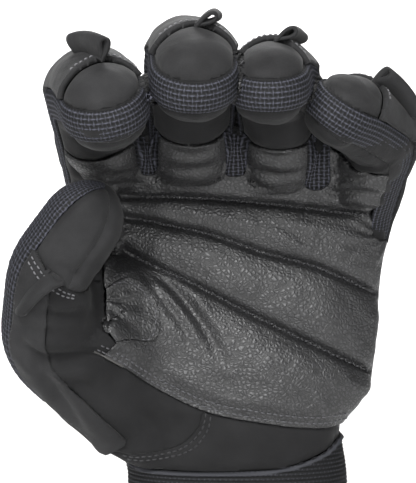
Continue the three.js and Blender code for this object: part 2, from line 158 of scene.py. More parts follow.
def finger_limb(row):
    """A finger that rises from the palm and curls towards the viewer."""
    lean, turn = math.radians(row["splay"]), math.radians(row["turn"])
    up = np.array([math.sin(lean), 0, math.cos(lean)])
    ahead = np.array([0.0, -1, 0])
    forward = ahead * math.cos(turn) + np.cross(up, ahead) * math.sin(turn)
    base = palm_place(row["x"], row["y"], row["z"])
    width, depth = FINGER_WIDTH * row["width"], FINGER_DEPTH * row["depth"]
    return limb_of(row, base, up, forward, FINGER_LENGTH, width, depth)


def thumb_limb(row):
    """The thumb, which turns its side to the viewer, so its width and depth change places."""
    first = unit(row["first"])
    towards = np.array(row["towards"])
    towards = unit(towards - towards.dot(first) * first)
    base = palm_place(row["x"], row["y"], row["z"])
    width, depth = THUMB_DEPTH * row["depth"], THUMB_WIDTH * row["width"]
    return limb_of(row, base, first, towards, THUMB_LENGTH, width, depth)


fingers = [finger_limb(row) for row in FINGERS]
thumb = thumb_limb(THUMB)
limbs = fingers + [thumb]


def along(limb, s, n, t):
    """Points at s along a limb, n outwards and t sideways."""
    s, n, t = np.broadcast_arrays(*(np.asarray(v, float) for v in (s, n, t)))
    at = lambda table: np.stack([np.interp(s, limb.s, table[:, i]) for i in range(3)], axis=-1)
    return at(limb.line) + n[..., None] * at(limb.outer) + t[..., None] * limb.side


def limb_place(limb, points):
    """(s, n, t) of points in a limb's own measure."""
    near = np.empty(len(points), int)
    for start in range(0, len(points), CHUNK):
        part = points[start:start + CHUNK]
        near[start:start + CHUNK] = np.argmin((limb.line ** 2).sum(1) - 2 * part @ limb.line.T, axis=1)
    off = points - limb.line[near]
    ahead = (off * limb.ahead[near]).sum(1)
    return limb.s[near] + ahead, (off * limb.outer[near]).sum(1), off @ limb.side


def girth_at(limb, s):
    """A limb's girth at s, one at its base: it swells at the knuckle and tapers to the tip."""
    past = (s - limb.joints[1]) / (limb.total - limb.joints[1])
    return (1 - TIP_TAPER * ease(past)) * (1 + KNUCKLE_SWELL * np.exp(-(past * KNUCKLE_FADE) ** 2))


def past_ring(square, past, u, v, end):
    """How far points lie outside a form whose side is at square one and whose rounded end is end deep."""
    ring = np.sqrt(square + past ** 2) + TINY
    return np.sqrt(u ** 2 + v ** 2 + (past * end) ** 2) * (1 - 1 / ring)


def limb_distance(limb, place):
    """How far points lie outside a limb's skin, about in millimetres."""
    s, n, t = place
    girth = girth_at(limb, s)
    dome = limb.wide * TIP_ROUND
    past = np.clip((s - (limb.total - dome)) / dome, 0, None) + np.clip((-limb.run - s) / dome, 0, None)
    ring = (np.abs(n / (limb.deep / 2 * girth)) ** OVAL_POWER
            + np.abs(t / (limb.wide / 2 * girth)) ** OVAL_POWER) ** (1 / OVAL_POWER)
    return past_ring(ring ** 2, past, n, t, dome)


# The hand as stacked superellipses in slanted rings
CUFF_POWER = 2.2
WRIST_POWER = 2.3
HAND_POWER = 2.7
WRIST_SHARE = 0.487
WRIST_HEIGHT = 0.9


def hand_table():
    """Heights at both sides, reaches to the left, right, front and back, and power of each ring."""
    rows = [(0,) * 2 + (CUFF_WIDTH / 2,) * 2 + (CUFF_DEPTH / 2,) * 2 + (CUFF_POWER,),
            (CUFF_HEIGHT * WRIST_HEIGHT,) * 2 + (CUFF_WIDTH * WRIST_SHARE,) * 2
            + (CUFF_DEPTH * WRIST_SHARE,) * 2 + (WRIST_POWER,)]
    for low, high, left, right, front, back in HAND_RINGS:
        rows.append((CUFF_HEIGHT + low * PALM_LENGTH, CUFF_HEIGHT + high * PALM_LENGTH, left * PALM_WIDTH,
                     right * PALM_WIDTH, front * PALM_THICKNESS, back * PALM_THICKNESS, HAND_POWER))
    return np.array(rows)


HAND = hand_table()
HAND_TOP = 7.0


def through(a, b, c, d, w):
    """A smooth curve from b to c, with a and d beside them, at share w."""
    return 0.5 * (2 * b + (c - a) * w + (2 * a - 5 * b + 4 * c - d) * w ** 2
                  + (3 * b - a - 3 * c + d) * w ** 3)


def hand_distance(points):
    """How far points lie outside the hand, its rings joined by a smooth curve."""
    x, y, z = points.T
    across = np.clip((x[:, None] + HAND[:, 2]) / (HAND[:, 2] + HAND[:, 3]), 0, 1)
    heights = HAND[:, 0] + (HAND[:, 1] - HAND[:, 0]) * across
    last = len(HAND) - 1
    k = np.clip((heights <= z[:, None]).sum(1) - 1, 0, last - 1)
    rows = np.arange(len(points))
    low, high = heights[rows, k], heights[rows, k + 1]
    w = np.clip((z - low) / (high - low), 0, 1)[:, None]
    a, b, c, d = (HAND[np.clip(k + i, 0, last), 2:] for i in (-1, 0, 1, 2))
    left, right, front, back, power = through(a, b, c, d, w).T
    dx = x - (right - left) / 2
    dy = y - (back - front) / 2
    past = np.clip((z - heights[:, -1]) / HAND_TOP, 0, None)
    across_ring = np.abs(dx / ((left + right) / 2)) ** power
    deep_ring = np.abs(dy / ((front + back) / 2)) ** power
    ring = (across_ring + deep_ring) ** (1 / power)
    return past_ring(ring ** 2, past, dx, dy, HAND_TOP)


# The ball of the thumb and the web, as in the solids: share of the way along, then swell or half sizes
BALL_IN = 0.12
BALL_ASIDE = 0.14
BALL_ENDS = (0.05, 0.95)
BALL_ROUND = 0.25
WEB_ROUND = 8
BALL = np.array([(-0.1, 0.75), (0.2, 1.15), (0.55, 1.32), (0.9, 1.15), (1.1, 0.8)])
WEB = np.array([(0, 1.0, 0.60), (0.33, 0.86, 0.54), (0.66, 0.68, 0.49), (1, 0.52, 0.44)])
web_start = palm_place(-0.20, -0.02, 0.46)
web_end = along(thumb, thumb.joints[1], -0.08 * THUMB_DEPTH, 0)


def ball_distance(place):
    """How far points lie outside the ball of the thumb."""
    s, n, t = place
    share = s / thumb.joints[1]
    swell = np.interp(share, BALL[:, 0], BALL[:, 1])
    half_n, half_t = thumb.deep / 2 * swell, thumb.wide / 2
    n, t = n + BALL_IN * thumb.deep, t - BALL_ASIDE * thumb.wide
    low, high = BALL_ENDS
    past = np.clip((share - high) / BALL_ROUND, 0, None) + np.clip((low - share) / BALL_ROUND, 0, None)
    return past_ring((n / half_n) ** 2 + (t / half_t) ** 2, past, n, t, half_t)


def web_frame():
    """The web's length, and its ways along, up and through."""
    axis = web_end - web_start
    length = np.linalg.norm(axis)
    axis = axis / length
    upwards = unit(np.array([0, 0, 1.0]) - axis[2] * axis)
    return length, axis, upwards, np.cross(axis, upwards)


def web_distance(points):
    """How far points lie outside the web between thumb and palm."""
    length, axis, upwards, inwards = web_frame()
    off = points - web_start
    share = off @ axis / length
    high = np.interp(share, WEB[:, 0], WEB[:, 1]) * WEB_THICKNESS
    thick = np.interp(share, WEB[:, 0], WEB[:, 2]) * WEB_THICKNESS
    u, v = off @ upwards, off @ inwards
    past = np.clip((share - 1) * length / WEB_ROUND, 0, None) + np.clip(-share * length / WEB_ROUND, 0, None)
    return past_ring((u / high) ** 2 + (v / thick) ** 2, past, u, v, WEB_ROUND)


def blend_of(a, b, reach):
    """Joins two forms with a soft fillet about reach wide."""
    h = np.clip(0.5 + 0.5 * (b - a) / reach, 0, 1)
    return b * (1 - h) + a * h - reach * h * (1 - h)


BODY_BLEND = 7.0
LIMB_BLEND = 4.0


def body_field(points):
    """How far points lie outside the hand, the thumb and what joins them."""
    place = limb_place(thumb, points)
    field = blend_of(hand_distance(points), ball_distance(place), BODY_BLEND)
    field = blend_of(field, web_distance(points), BODY_BLEND)
    return blend_of(field, limb_distance(thumb, place), LIMB_BLEND)


# Soft ridges that close the skin between the finger bases and at the thumb's fork: both ends and radius
FILLERS = [((-28.6, -2, 112), (-30.5, -13, 139), 7.5), ((-0.8, -2, 112), (-0.4, -14, 141), 8.0),
           ((24.6, -2, 106), (29.0, -14, 138), 8.5), ((-26, -6, 92), (-53, -24, 93), 8.5)]
FILLER_BLEND = 3.0


def ridge_distance(points, start, end, girth):
    """How far points lie outside a round-ended ridge."""
    start, way = np.array(start), np.subtract(end, start)
    share = np.clip((points - start) @ way / (way @ way), 0, 1)
    return np.linalg.norm(points - start - share[:, None] * way, axis=1) - girth


def skin_field(points):
    """How far points lie outside the whole glove's plain skin."""
    tips = np.min([limb_distance(limb, limb_place(limb, points)) for limb in fingers], axis=0)
    field = blend_of(body_field(points), tips, LIMB_BLEND)
    for ridge in FILLERS:
        field = blend_of(field, ridge_distance(points, *ridge), FILLER_BLEND)
    return field


GRADIENT_STEP = 0.2
LEAST_SLOPE = 0.2


def gradient(field, points, value):
    """How a field rises along x, y and z, where its value at the points is known."""
    rise = [field(points + GRADIENT_STEP * axis) - value for axis in np.eye(3)]
    return np.stack(rise, axis=1) / GRADIENT_STEP


def settle(field, points, times, most=2.0):
    """Moves points onto the skin, and gives the skin's outward direction there."""
    for _ in range(times):
        value = field(points)
        rise = gradient(field, points, value)
        move = -(value / np.maximum((rise ** 2).sum(1), LEAST_SLOPE))[:, None] * rise
        size = np.linalg.norm(move, axis=1, keepdims=True)
        points = points + move * np.minimum(1, most / np.maximum(size, TINY))
    rise = gradient(field, points, field(points))
    return points, rise / np.maximum(np.linalg.norm(rise, axis=1, keepdims=True), TINY)


# Meshes
def mesh_object(name, points, faces):
    """A smooth-shaded mesh from points in millimetres."""
    mesh = bpy.data.meshes.new(name)
    mesh.from_pydata((np.asarray(points) * MM).tolist(), [], [tuple(map(int, f)) for f in faces])
    mesh.update()
    mesh.polygons.foreach_set("use_smooth", [True] * len(mesh.polygons))
    piece = bpy.data.objects.new(name, mesh)
    bpy.context.scene.collection.objects.link(piece)
    return piece


def add_attribute(piece, name, values):
    """Gives each point of a piece a value that a material can read."""
    layer = piece.data.attributes.new(name, "FLOAT", "POINT")
    layer.data.foreach_set("value", np.asarray(values, np.float32))


def ring_faces(rings, count, closed=True):
    """Four-sided faces between rings, or rows, of count points each."""
    faces = []
    for r in range(rings - 1):
        for i in range(count if closed else count - 1):
            j = (i + 1) % count
            faces.append((r * count + i, r * count + j, (r + 1) * count + j, (r + 1) * count + i))
    return faces


def add_loft(points, faces, rings):
    """Adds a closed loft through rings of points to a list of points and faces."""
    start = len(points)
    count = len(rings[0])
    for ring in rings:
        points.extend(map(tuple, ring))
    faces.extend(tuple(start + i for i in f) for f in ring_faces(len(rings), count))
    last = start + (len(rings) - 1) * count
    faces.append(tuple(range(start + count - 1, start - 1, -1)))
    faces.append(tuple(range(last, last + count)))


SEED_SIDES = 20
SEED_STEPS = 22
DOME_LIFTS = (35, 60, 80)
ROUND_LIFTS = (-70, -35, 0, 0, 35, 70)
HAND_SIDES = 40
HAND_SQUARE = 0.75
SEED_SKIRT = 4.0


def oval(half_n, half_t):
    """Places round an oval."""
    a = (np.arange(SEED_SIDES) + 0.5) / SEED_SIDES * 2 * np.pi
    return half_n * np.cos(a), half_t * np.sin(a)


def limb_rings(limb):
    """Rings along a limb and over its domed tip."""
    dome = limb.wide * TIP_ROUND
    rings = []
    for s in np.linspace(-limb.run, limb.total - dome, SEED_STEPS):
        n, t = oval(limb.deep / 2, limb.wide / 2)
        rings.append(along(limb, s, n, t))
    for lift in np.radians(DOME_LIFTS):
        n, t = oval(limb.deep / 2 * math.cos(lift), limb.wide / 2 * math.cos(lift))
        rings.append(along(limb, limb.total - dome + dome * math.sin(lift), n, t))
    return rings


def hand_rings():
    """Rings of the hand, which start a little below the wrist so that the cut there is clean."""
    rings = []
    for low, high, left, right, front, back, _ in HAND:
        a = np.arange(HAND_SIDES) / HAND_SIDES * 2 * np.pi
        x = np.sign(np.cos(a)) * np.abs(np.cos(a)) ** HAND_SQUARE * (left + right) / 2 + (right - left) / 2
        y = np.sign(np.sin(a)) * np.abs(np.sin(a)) ** HAND_SQUARE * (front + back) / 2 + (back - front) / 2
        z = low + (high - low) * (x + left) / (left + right)
        rings.append(np.stack([x, y, z], axis=1))
    rings.insert(0, rings[0] - np.array([0, 0, SEED_SKIRT]))
    return rings


def ball_rings():
    """Rings of the ball of the thumb."""
    rings = []
    for share, swell in BALL:
        n, t = oval(thumb.deep / 2 * swell, thumb.wide / 2)
        n, t = n - BALL_IN * thumb.deep, t + BALL_ASIDE * thumb.wide
        rings.append(along(thumb, share * thumb.joints[1], n, t))
    return rings


def ridge_rings(start, end, girth):
    """Rings of a round-ended ridge."""
    way = unit(np.subtract(end, start))
    one = unit(np.cross(way, (1.0, 0.2, 0.1)))
    two = np.cross(way, one)
    u, v = oval(girth, girth)
    rings = []
    for at, lift in zip((start,) * 3 + (end,) * 3, np.radians(ROUND_LIFTS)):
        middle = np.array(at) + way * girth * math.sin(lift)
        rings.append(middle + (u[:, None] * one + v[:, None] * two) * math.cos(lift))
    return rings


def web_rings():
    """Rings of the web between thumb and palm."""
    _, _, upwards, inwards = web_frame()
    rings = []
    for share, high, thick in WEB:
        u, v = oval(high * WEB_THICKNESS, thick * WEB_THICKNESS)
        middle = web_start + (web_end - web_start) * share
        rings.append(middle + u[:, None] * upwards + v[:, None] * inwards)
    return rings


def seed_mesh():
    """A rough closed form that the skin is settled from."""
    points, faces = [], []
    forms = [limb_rings(limb) for limb in limbs] + [hand_rings(), ball_rings()]
    forms += [ridge_rings(*ridge) for ridge in FILLERS] + [web_rings()]
    for rings in forms:
        add_loft(points, faces, rings)
    return mesh_object("seed", points, faces)


SETTLE_TIMES = 4


def skin_mesh():
    """Points and triangles of the whole skin, and the skin's outward direction at each point."""
    seed = seed_mesh()
    remesh = seed.modifiers.new("voxels", "REMESH")
    remesh.mode = "VOXEL"
    remesh.voxel_size = VOXEL * MM
    shape = seed.evaluated_get(bpy.context.evaluated_depsgraph_get()).to_mesh()
    points = np.empty(len(shape.vertices) * 3)
    shape.vertices.foreach_get("co", points)
    points = points.reshape(-1, 3) / MM
    shape.calc_loop_triangles()
    triangles = np.empty(len(shape.loop_triangles) * 3, np.int32)
    shape.loop_triangles.foreach_get("vertices", triangles)
    triangles = triangles.reshape(-1, 3)
    bpy.data.objects.remove(seed)
    points, normal = settle(skin_field, points, SETTLE_TIMES)
    return points, triangles, normal


# A sheet is a table of numbers at each point, with its triangles; the columns are named here
COLUMNS = {name: i for i, name in enumerate(["x", "y", "z", "nx", "ny", "nz"])}
for limb in limbs:
    for key in ("s", "n", "t", "d"):
        COLUMNS[f"{limb.name}_{key}"] = len(COLUMNS)


def column(table, name):
    """One named number of all points."""
    return table[:, COLUMNS[name]]


def sheet_of(points, normal):
    """The table of numbers for points of the skin."""
    table = np.empty((len(points), len(COLUMNS)))
    table[:, 0:3], table[:, 3:6] = points, normal
    for limb in limbs:
        place = limb_place(limb, points)
        for key, values in zip(("s", "n", "t", "d"), (*place, limb_distance(limb, place))):
            table[:, COLUMNS[f"{limb.name}_{key}"]] = values
    return table


def kept(table, triangles):
    """A sheet without the points that no triangle uses."""
    used, index = np.unique(triangles, return_inverse=True)
    return table[used], index.reshape(-1, 3)


SLIVER = 0.04


def cut_sheet(table, triangles, value):
    """Cuts a sheet where value crosses zero, and gives the part above and the part below."""
    inside = value > 0
    count = inside[triangles].sum(1)
    above, below = [triangles[count == 3]], [triangles[count == 0]]
    spots = []
    for lone, one, two in ((1, above, below), (2, below, above)):
        mixed = triangles[count == lone]
        odd = np.argmax(inside[mixed] == (lone == 1), axis=1)
        rows = np.arange(len(mixed))
        a, b, c = (mixed[rows, (odd + i) % 3] for i in range(3))
        spots.append((a, b, c, one, two))
    pairs = np.concatenate([np.stack([a, other], 1) for a, b, c, _, _ in spots for other in (b, c)])
    if len(pairs) == 0:
        return kept(table, above[0]), kept(table, below[0])
    pairs.sort(axis=1)
    unique, index = np.unique(pairs, axis=0, return_inverse=True)
    index = index.reshape(-1) + len(table)
    va, vb = value[unique[:, 0]], value[unique[:, 1]]
    w = np.clip(va / (va - vb), SLIVER, 1 - SLIVER)[:, None]
    table = np.vstack([table, table[unique[:, 0]] * (1 - w) + table[unique[:, 1]] * w])
    place = 0
    for a, b, c, one, two in spots:
        ab, ac = index[place:place + len(a)], index[place + len(a):place + 2 * len(a)]
        place += 2 * len(a)
        one.append(np.stack([a, ab, ac], 1))
        two.extend([np.stack([ab, b, c], 1), np.stack([ab, c, ac], 1)])
    return kept(table, np.concatenate(above)), kept(table, np.concatenate(below))


def edge_pairs(triangles):
    """The two ends of every triangle's three edges, the lower number first."""
    return np.sort(np.concatenate([triangles[:, pair] for pair in ([0, 1], [1, 2], [2, 0])]), axis=1)


def border_distance(points, triangles):
    """How far each point is from the sheet's border."""
    unique, count = np.unique(edge_pairs(triangles), axis=0, return_counts=True)
    border = np.unique(unique[count == 1])
    tree = KDTree(len(border))
    for i in border:
        tree.insert(points[i], int(i))
    tree.balance()
    return np.array([tree.find(p)[2] for p in points])


# Lines on the front of the hand, in millimetres: x and z
CURVE_STEP = 1.5


def curve(points):
    """A smooth line through points, with a point about every step."""
    p = np.array(points, float)
    p = np.vstack([2 * p[0] - p[1], p, 2 * p[-1] - p[-2]])
    out = []
    for a, b, c, d in zip(p, p[1:], p[2:], p[3:]):
        count = max(1, int(np.linalg.norm(c - b) / CURVE_STEP))
        for w in np.arange(count) / count:
            out.append(through(a, b, c, d, w))
    return np.vstack([out, p[-2]])


def line_distance(points, line):
    """Each point's distance to a line and its share of the way along it."""
    best = np.full(len(points), np.inf)
    share = np.zeros(len(points))
    for i, (a, b) in enumerate(zip(line, line[1:])):
        w = np.clip(((points - a) @ (b - a)) / ((b - a) @ (b - a)), 0, 1)
        d = np.linalg.norm(points - a - w[:, None] * (b - a), axis=1)
        nearer = d < best
        best[nearer], share[nearer] = d[nearer], (i + w[nearer]) / (len(line) - 1)
    return best, share


PALM_SEAMS = [
    curve([(-41, 120.4), (-29.3, 120.4), (-9.6, 119.8), (7.2, 118.4), (21.9, 116.7), (36.7, 114.8),
           (48, 114)]),
    curve([(-42, 114.2), (-29.3, 112.8), (-21, 110.9), (-9.6, 108.5), (7.2, 102.8), (24, 98.2),
           (36.7, 92.9), (46, 89)]),
    curve([(-40, 105), (-27.2, 98.6), (-14.7, 92.8), (3.1, 83.5), (24, 73.2), (44, 63.4)]),
]
HEM = curve([(-62, 90), (-56.1, 82.1), (-52.4, 76.5), (-46, 72.9), (-35.6, 66.9), (-25.1, 59.3),
             (-9.6, 52.2), (7.2, 48.8), (21.9, 46.9), (33, 47.3), (60, 50)])
BASE_ARC = curve([(-11.2, 53), (-11.6, 51), (-12.4, 48), (-16.5, 43), (-22.8, 40.2), (-33.2, 38.9),
                  (-42, 39.5), (-70, 36)])
CUFF_EDGE = curve([(-60, 46), (-40, 38.6), (-33.3, 34.8), (-27.1, 33.5), (-9.6, 33.4), (7.1, 33.8),
                   (15.7, 34.8), (21.8, 36.4), (28, 38.9), (36, 43), (60, 48)])
PATCH = [(-52, 86), (-41.8, 92.1), (-36.3, 94.2), (-31.1, 92.5), (-26.4, 86.5), (-25.1, 81.3), (-26.4, 76),
         (-29.4, 74.6), (-35.1, 75.6), (-44, 74.8), (-50, 76)]
PATCH_LOOP = curve(PATCH + PATCH[:1])


def above_line(points, line):
    """How far points lie above a line that runs from left to right."""
    height = points[:, 1] - np.interp(points[:, 0], line[:, 0], line[:, 1])
    near, _ = line_distance(points, line)
    return np.sign(height) * near


def inside_loop(points, loop):
    """How far points lie inside a closed line, below zero outside it."""
    inside = np.zeros(len(points), bool)
    for a, b in zip(loop, loop[1:]):
        crosses = (a[1] > points[:, 1]) != (b[1] > points[:, 1])
        x = a[0] + (points[:, 1] - a[1]) * (b[0] - a[0]) / (b[1] - a[1] + TINIER)
        inside ^= crosses & (points[:, 0] < x)
    near, _ = line_distance(points, loop)
    return np.where(inside, near, -near)


# Creases pressed into the front: points in x and z, depth and width in millimetres
CREASES = [
    (curve([(-38.1, 99.8), (-31.5, 98.5), (-27.2, 95.7), (-22.9, 92.8), (-16.6, 86.5), (-12.5, 81.1),
            (-9.6, 77), (-5.5, 70.2), (-3.7, 68.4)]), 1.6, 2.2),
    (curve([(-36, 97), (-30, 94), (-24, 87.5), (-18, 80), (-14, 73)]), 0.9, 1.6),
    (curve([(11.6, 111.2), (25.9, 106.5), (41.8, 103.3)]), 0.7, 2.0),
    (curve([(17, 107), (30, 102), (44, 98.5)]), 0.5, 1.6),
    (curve([(-54, 131), (-47, 128), (-40, 127.5), (-31, 129)]), 0.9, 1.5),
    (curve([(-52, 126), (-44, 124.6), (-36, 125.4), (-29, 124)]), 1.0, 1.3),
    (curve([(-46, 135), (-40, 133.2), (-34, 134.5)]), 0.7, 1.3),
    (curve([(-44, 121.8), (-34, 122.6), (-22, 122.2)]), 0.6, 1.1),
    (curve([(25, 124.6), (31, 121.8), (38, 122.8), (48, 120)]), 1.0, 1.5),
    (curve([(28, 129), (36, 126.2), (42, 127), (49, 124)]), 0.9, 1.3),
    (curve([(33, 118), (40, 117.2), (47, 115)]), 0.7, 1.2),
    (curve([(-24, 131), (-16, 129.6), (-7, 131.2)]), 0.7, 1.3),
    (curve([(-22, 135.5), (-14, 134.4), (-7, 136)]), 0.6, 1.2),
    (curve([(4, 130), (12, 128.2), (20, 129.4)]), 0.8, 1.3),
    (curve([(5, 134.6), (12, 133.4), (19, 134.8)]), 0.6, 1.2),
    (curve([(-2, 122), (8, 120.4), (18, 121.6)]), 0.4, 1.1),
]
BANK_PLACE = 1.7
CREASE_BANK = 0.35
FOLD_BANK = 0.45

# Padding between the palm's sewn channels, and the channels, in millimetres
QUILT_RISE = 1.5
QUILT_WIDTH = 4.5
QUILT_GROOVE = 2.2
GROOVE_WIDTH = 1.15
SEAM_START = 0.04
SEAM_RATE = 25
SEAM_CLEAR = 14

# Where pleats fan out: centre in x and z, reach in millimetres, pleats round the whole circle
GATHERS = [((-45.5, 88), 19, 12), ((-47, 112), 15, 13), ((47, 108), 13, 12)]
PLEAT_RISE = 0.36

# Height of the finger bases, above which the palm's relief ends, and the unevenness of all cloth: rise and
# size of its waves in millimetres
FINGER_BASES = 142
UNEVENNESS = [(0.35, 18.0), (0.12, 7.0)]

# Folds of the cloth at the thumb, as the creases
THUMB_FOLDS = [
    (curve([(-65.5, 74.4), (-60.1, 71.4), (-53.3, 70.7), (-45, 71.2), (-37.6, 69.2)]), 3.0, 2.4),
    (curve([(-66, 80), (-64.6, 74.8), (-61.6, 71.2), (-56.7, 62.1), (-50.9, 51.4), (-47, 44)]), 1.6, 2.0),
    (curve([(-60, 86), (-54, 83.5), (-46, 84)]), 1.8, 1.8),
    (curve([(-52, 64), (-44, 60), (-37, 50)]), 1.2, 2.6),
    (curve([(-30, 56), (-22, 50), (-14, 47)]), 0.5, 2.2),
    (curve([(-56, 100), (-50, 97), (-45, 96)]), 0.8, 1.6),
]


WAVES = 9
WAVE_WARP = 1.2
WARP_PACE = 0.7


def waves(points, size, seed):
    """Soft uneven waves, mostly from minus one to one and about a size across."""
    pick = np.random.default_rng(seed)
    total = np.zeros(len(points))
    for _ in range(WAVES):
        way = unit(pick.normal(size=3)) * 2 * math.pi / size * pick.uniform(0.6, 1.4)
        start = pick.uniform(0, 2 * math.pi)
        total += np.sin(points @ way + start + WAVE_WARP * np.sin(points @ way[[1, 2, 0]] * WARP_PACE))
    return total / (WAVES / 2)


def hump(distance, width):
    """One in the middle, falling smoothly to nought."""
    return np.exp(-(distance / width) ** 2)


def press(height, flat, lines, bank, hold):
    """Presses lines into the height, each with a soft bank beside it and fading at its ends."""
    for line, depth, width in lines:
        d, share = line_distance(flat, line)
        fade = np.sin(np.pi * np.clip(share, 0.02, 0.98)) ** 0.6 * hold
        height += fade * depth * (bank * hump(d - BANK_PLACE * width, width) - hump(d, width))


def quilted(flat):
    """The height of the padding, which falls into the sewn channels and starts clear of the thumb."""
    near = np.full(len(flat), np.inf)
    for seam in PALM_SEAMS:
        d, share = line_distance(flat, seam)
        near = np.minimum(near, d + SEAM_CLEAR * ease((SEAM_START - share) * SEAM_RATE))
    height = QUILT_RISE * (1 - hump(near, QUILT_WIDTH)) - QUILT_GROOVE * hump(near, GROOVE_WIDTH)
    return height * ease((above_line(flat, HEM) - 1) / 6)


def gather(height, flat, points):
    """Adds the pleats that fan out from the ends of the palm's edge."""
    for centre, reach, pleats in GATHERS:
        off = flat - np.array(centre)
        far = np.hypot(off[:, 0], off[:, 1])
        fan = np.sin(np.arctan2(off[:, 1], off[:, 0]) * pleats + waves(points, 14.0, 4))
        height += PLEAT_RISE * ease(far / 6) * hump(far - 0.5 * reach, 0.45 * reach) * fan


def relief(table):
    """How far the skin stands proud of its plain form: padded ridges, sewn channels, creases and folds."""
    flat, points = table[:, [0, 2]], table[:, 0:3]
    facing = -column(table, "ny")
    palm = ease((column(table, "thumb_d") - 1.5) / 4) * ease((FINGER_BASES - table[:, 2]) / 8)
    height = quilted(flat)
    press(height, flat, CREASES, CREASE_BANK, 1.0)
    gather(height, flat, points)
    height = height * ease((facing - 0.15) / 0.5) * palm
    press(height, flat, THUMB_FOLDS, FOLD_BANK, ease((facing + 0.1) / 0.4))
    for seed, (rise, size) in enumerate(UNEVENNESS, 1):
        height = height + rise * waves(points, size, seed)
    return height


# Pieces
skin_parts = []


def wall(piece, thickness=CLOTH):
    """Gives a sheet its thickness, inwards."""
    solid = piece.modifiers.new("wall", "SOLIDIFY")
    solid.thickness = thickness * MM
    solid.offset = -1
    solid.use_rim = True


def refine(table, triangles, times):
    """Splits each triangle into four, as many times as asked."""
    for _ in range(times):
        unique, index = np.unique(edge_pairs(triangles), axis=0, return_inverse=True)
        ab, bc, ca = (index.reshape(-1) + len(table)).reshape(3, -1)
        table = np.vstack([table, (table[unique[:, 0]] + table[unique[:, 1]]) / 2])
        a, b, c = triangles.T
        corners = ((a, ab, ca), (ab, b, bc), (ca, bc, c), (ab, bc, ca))
        triangles = np.concatenate([np.stack(corner, 1) for corner in corners])
    return table, triangles


# Where two fingers nearly touch, their panels lie flat and sink a little, in millimetres
TOUCH_FROM = 140
TOUCH_FLAT = 3
TOUCH_SINK = 0.7
TOUCH_SINK_GAP = 2


def panel(name, table, triangles, material, slot, lift=0.0, edge=-0.5, soft=1.6, fine=0, knit=False):
    """A cloth or leather panel cut from the skin: lifted all over, and pulled in or out at its edge."""
    table, triangles = refine(table, triangles, fine)
    points = table[:, 0:3]
    near = border_distance(points, triangles)
    rise = relief(table) + lift + edge * hump(near, soft)
    gap = np.partition(np.stack([column(table, f"{limb.name}_d") for limb in fingers]), 1, axis=0)[1]
    sink = TOUCH_SINK * (1 - ease(gap / TOUCH_SINK_GAP)) * (points[:, 2] > TOUCH_FROM)
    rise = rise * ease(gap / TOUCH_FLAT) - sink
    thread = None
    if knit:
        thread = waffle(points[:, 2], points[:, 0])
        rise = rise + KNIT_HEIGHT * thread
    points = points + table[:, 3:6] * rise[:, None]
    piece = mesh_object(f"{name}_cloth", points, triangles)
    if knit:
        add_attribute(piece, "thread", thread)
    skin_parts.append((points, triangles))
    wall(piece)
    finish_piece(piece, None if name.endswith("backing") else name, material)


# Knit: the pitch of its rows across the strip and of its ribs along it, and its height, in millimetres
KNIT_PITCH = 1.43
RIB_SPACING = 0.85 * KNIT_PITCH
KNIT_HEIGHT = 0.5


def swing(place, pitch=1):
    """One at each whole pitch and nought half-way between."""
    return 0.5 + 0.5 * np.cos(2 * np.pi * place / pitch)


def waffle(u, v):
    """Height from nought to one of a knit's round threads, laid both ways with open holes between."""
    place = np.stack([u.ravel(), v.ravel(), 0 * u.ravel()], axis=1)
    u = u + 0.14 * waves(place, 5.0, 5).reshape(u.shape)
    v = v + 0.05 * waves(place, 7.0, 6).reshape(v.shape)
    rib = swing(u, RIB_SPACING) ** 1.1
    row = swing(v, KNIT_PITCH) ** 0.9
    over = swing(u / RIB_SPACING + v / KNIT_PITCH, 2)
    return np.maximum(row * (0.62 + 0.38 * over), rib * (0.92 - 0.35 * over))


def finish_piece(piece, node, material):
    """Gives a piece its material, hangs it on the root, and hides the node that it stands for, if any."""
    piece.data.materials.append(material)
    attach(piece, "root")
    if node:
        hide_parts(node)


def linear(hex_value):
    """A linear colour from an sRGB hex value."""
    parts = [int(hex_value[i:i + 2], 16) / 255 for i in (1, 3, 5)]
    return tuple(c / 12.92 if c <= 0.04045 else ((c + 0.055) / 1.055) ** 2.4 for c in parts) + (1.0,)


def add_node(tree, kind, inputs=None, stops=(), **settings):
    """Adds a node with its settings and a colour ramp's stops, and links or sets its inputs."""
    new = tree.nodes.new(kind)
    for i, (place, colour) in enumerate(stops):
        if i == len(new.color_ramp.elements):
            new.color_ramp.elements.new(place)
        new.color_ramp.elements[i].position = place
        new.color_ramp.elements[i].color = linear(colour)
    for key, value in settings.items():
        setattr(new, key, value)
    for key, value in (inputs or {}).items():
        if isinstance(value, bpy.types.NodeSocket):
            tree.links.new(value, new.inputs[key])
        else:
            new.inputs[key].default_value = value
    return new


def new_material(name):
    """A material with its node tree and its shader."""
    material = bpy.data.materials.new(name)
    material.use_nodes = True
    tree = material.node_tree
    shader = tree.nodes["Principled BSDF"]
    return material, tree, shader


# Sizes of the surface patterns in millimetres; the pebbles, lint and fibres are as coarse as they need to
# be to show in the render
GRAIN = 1.3
GRAIN_BEND = 2.381
GRAIN_SHIFT = 1.1
PORES = 0.6667
LEATHER_SWELL = 7.692
LINT = 0.35
CLOTH_SWELL = 11.11
FIBRE = 0.2
TWIST = 0.25


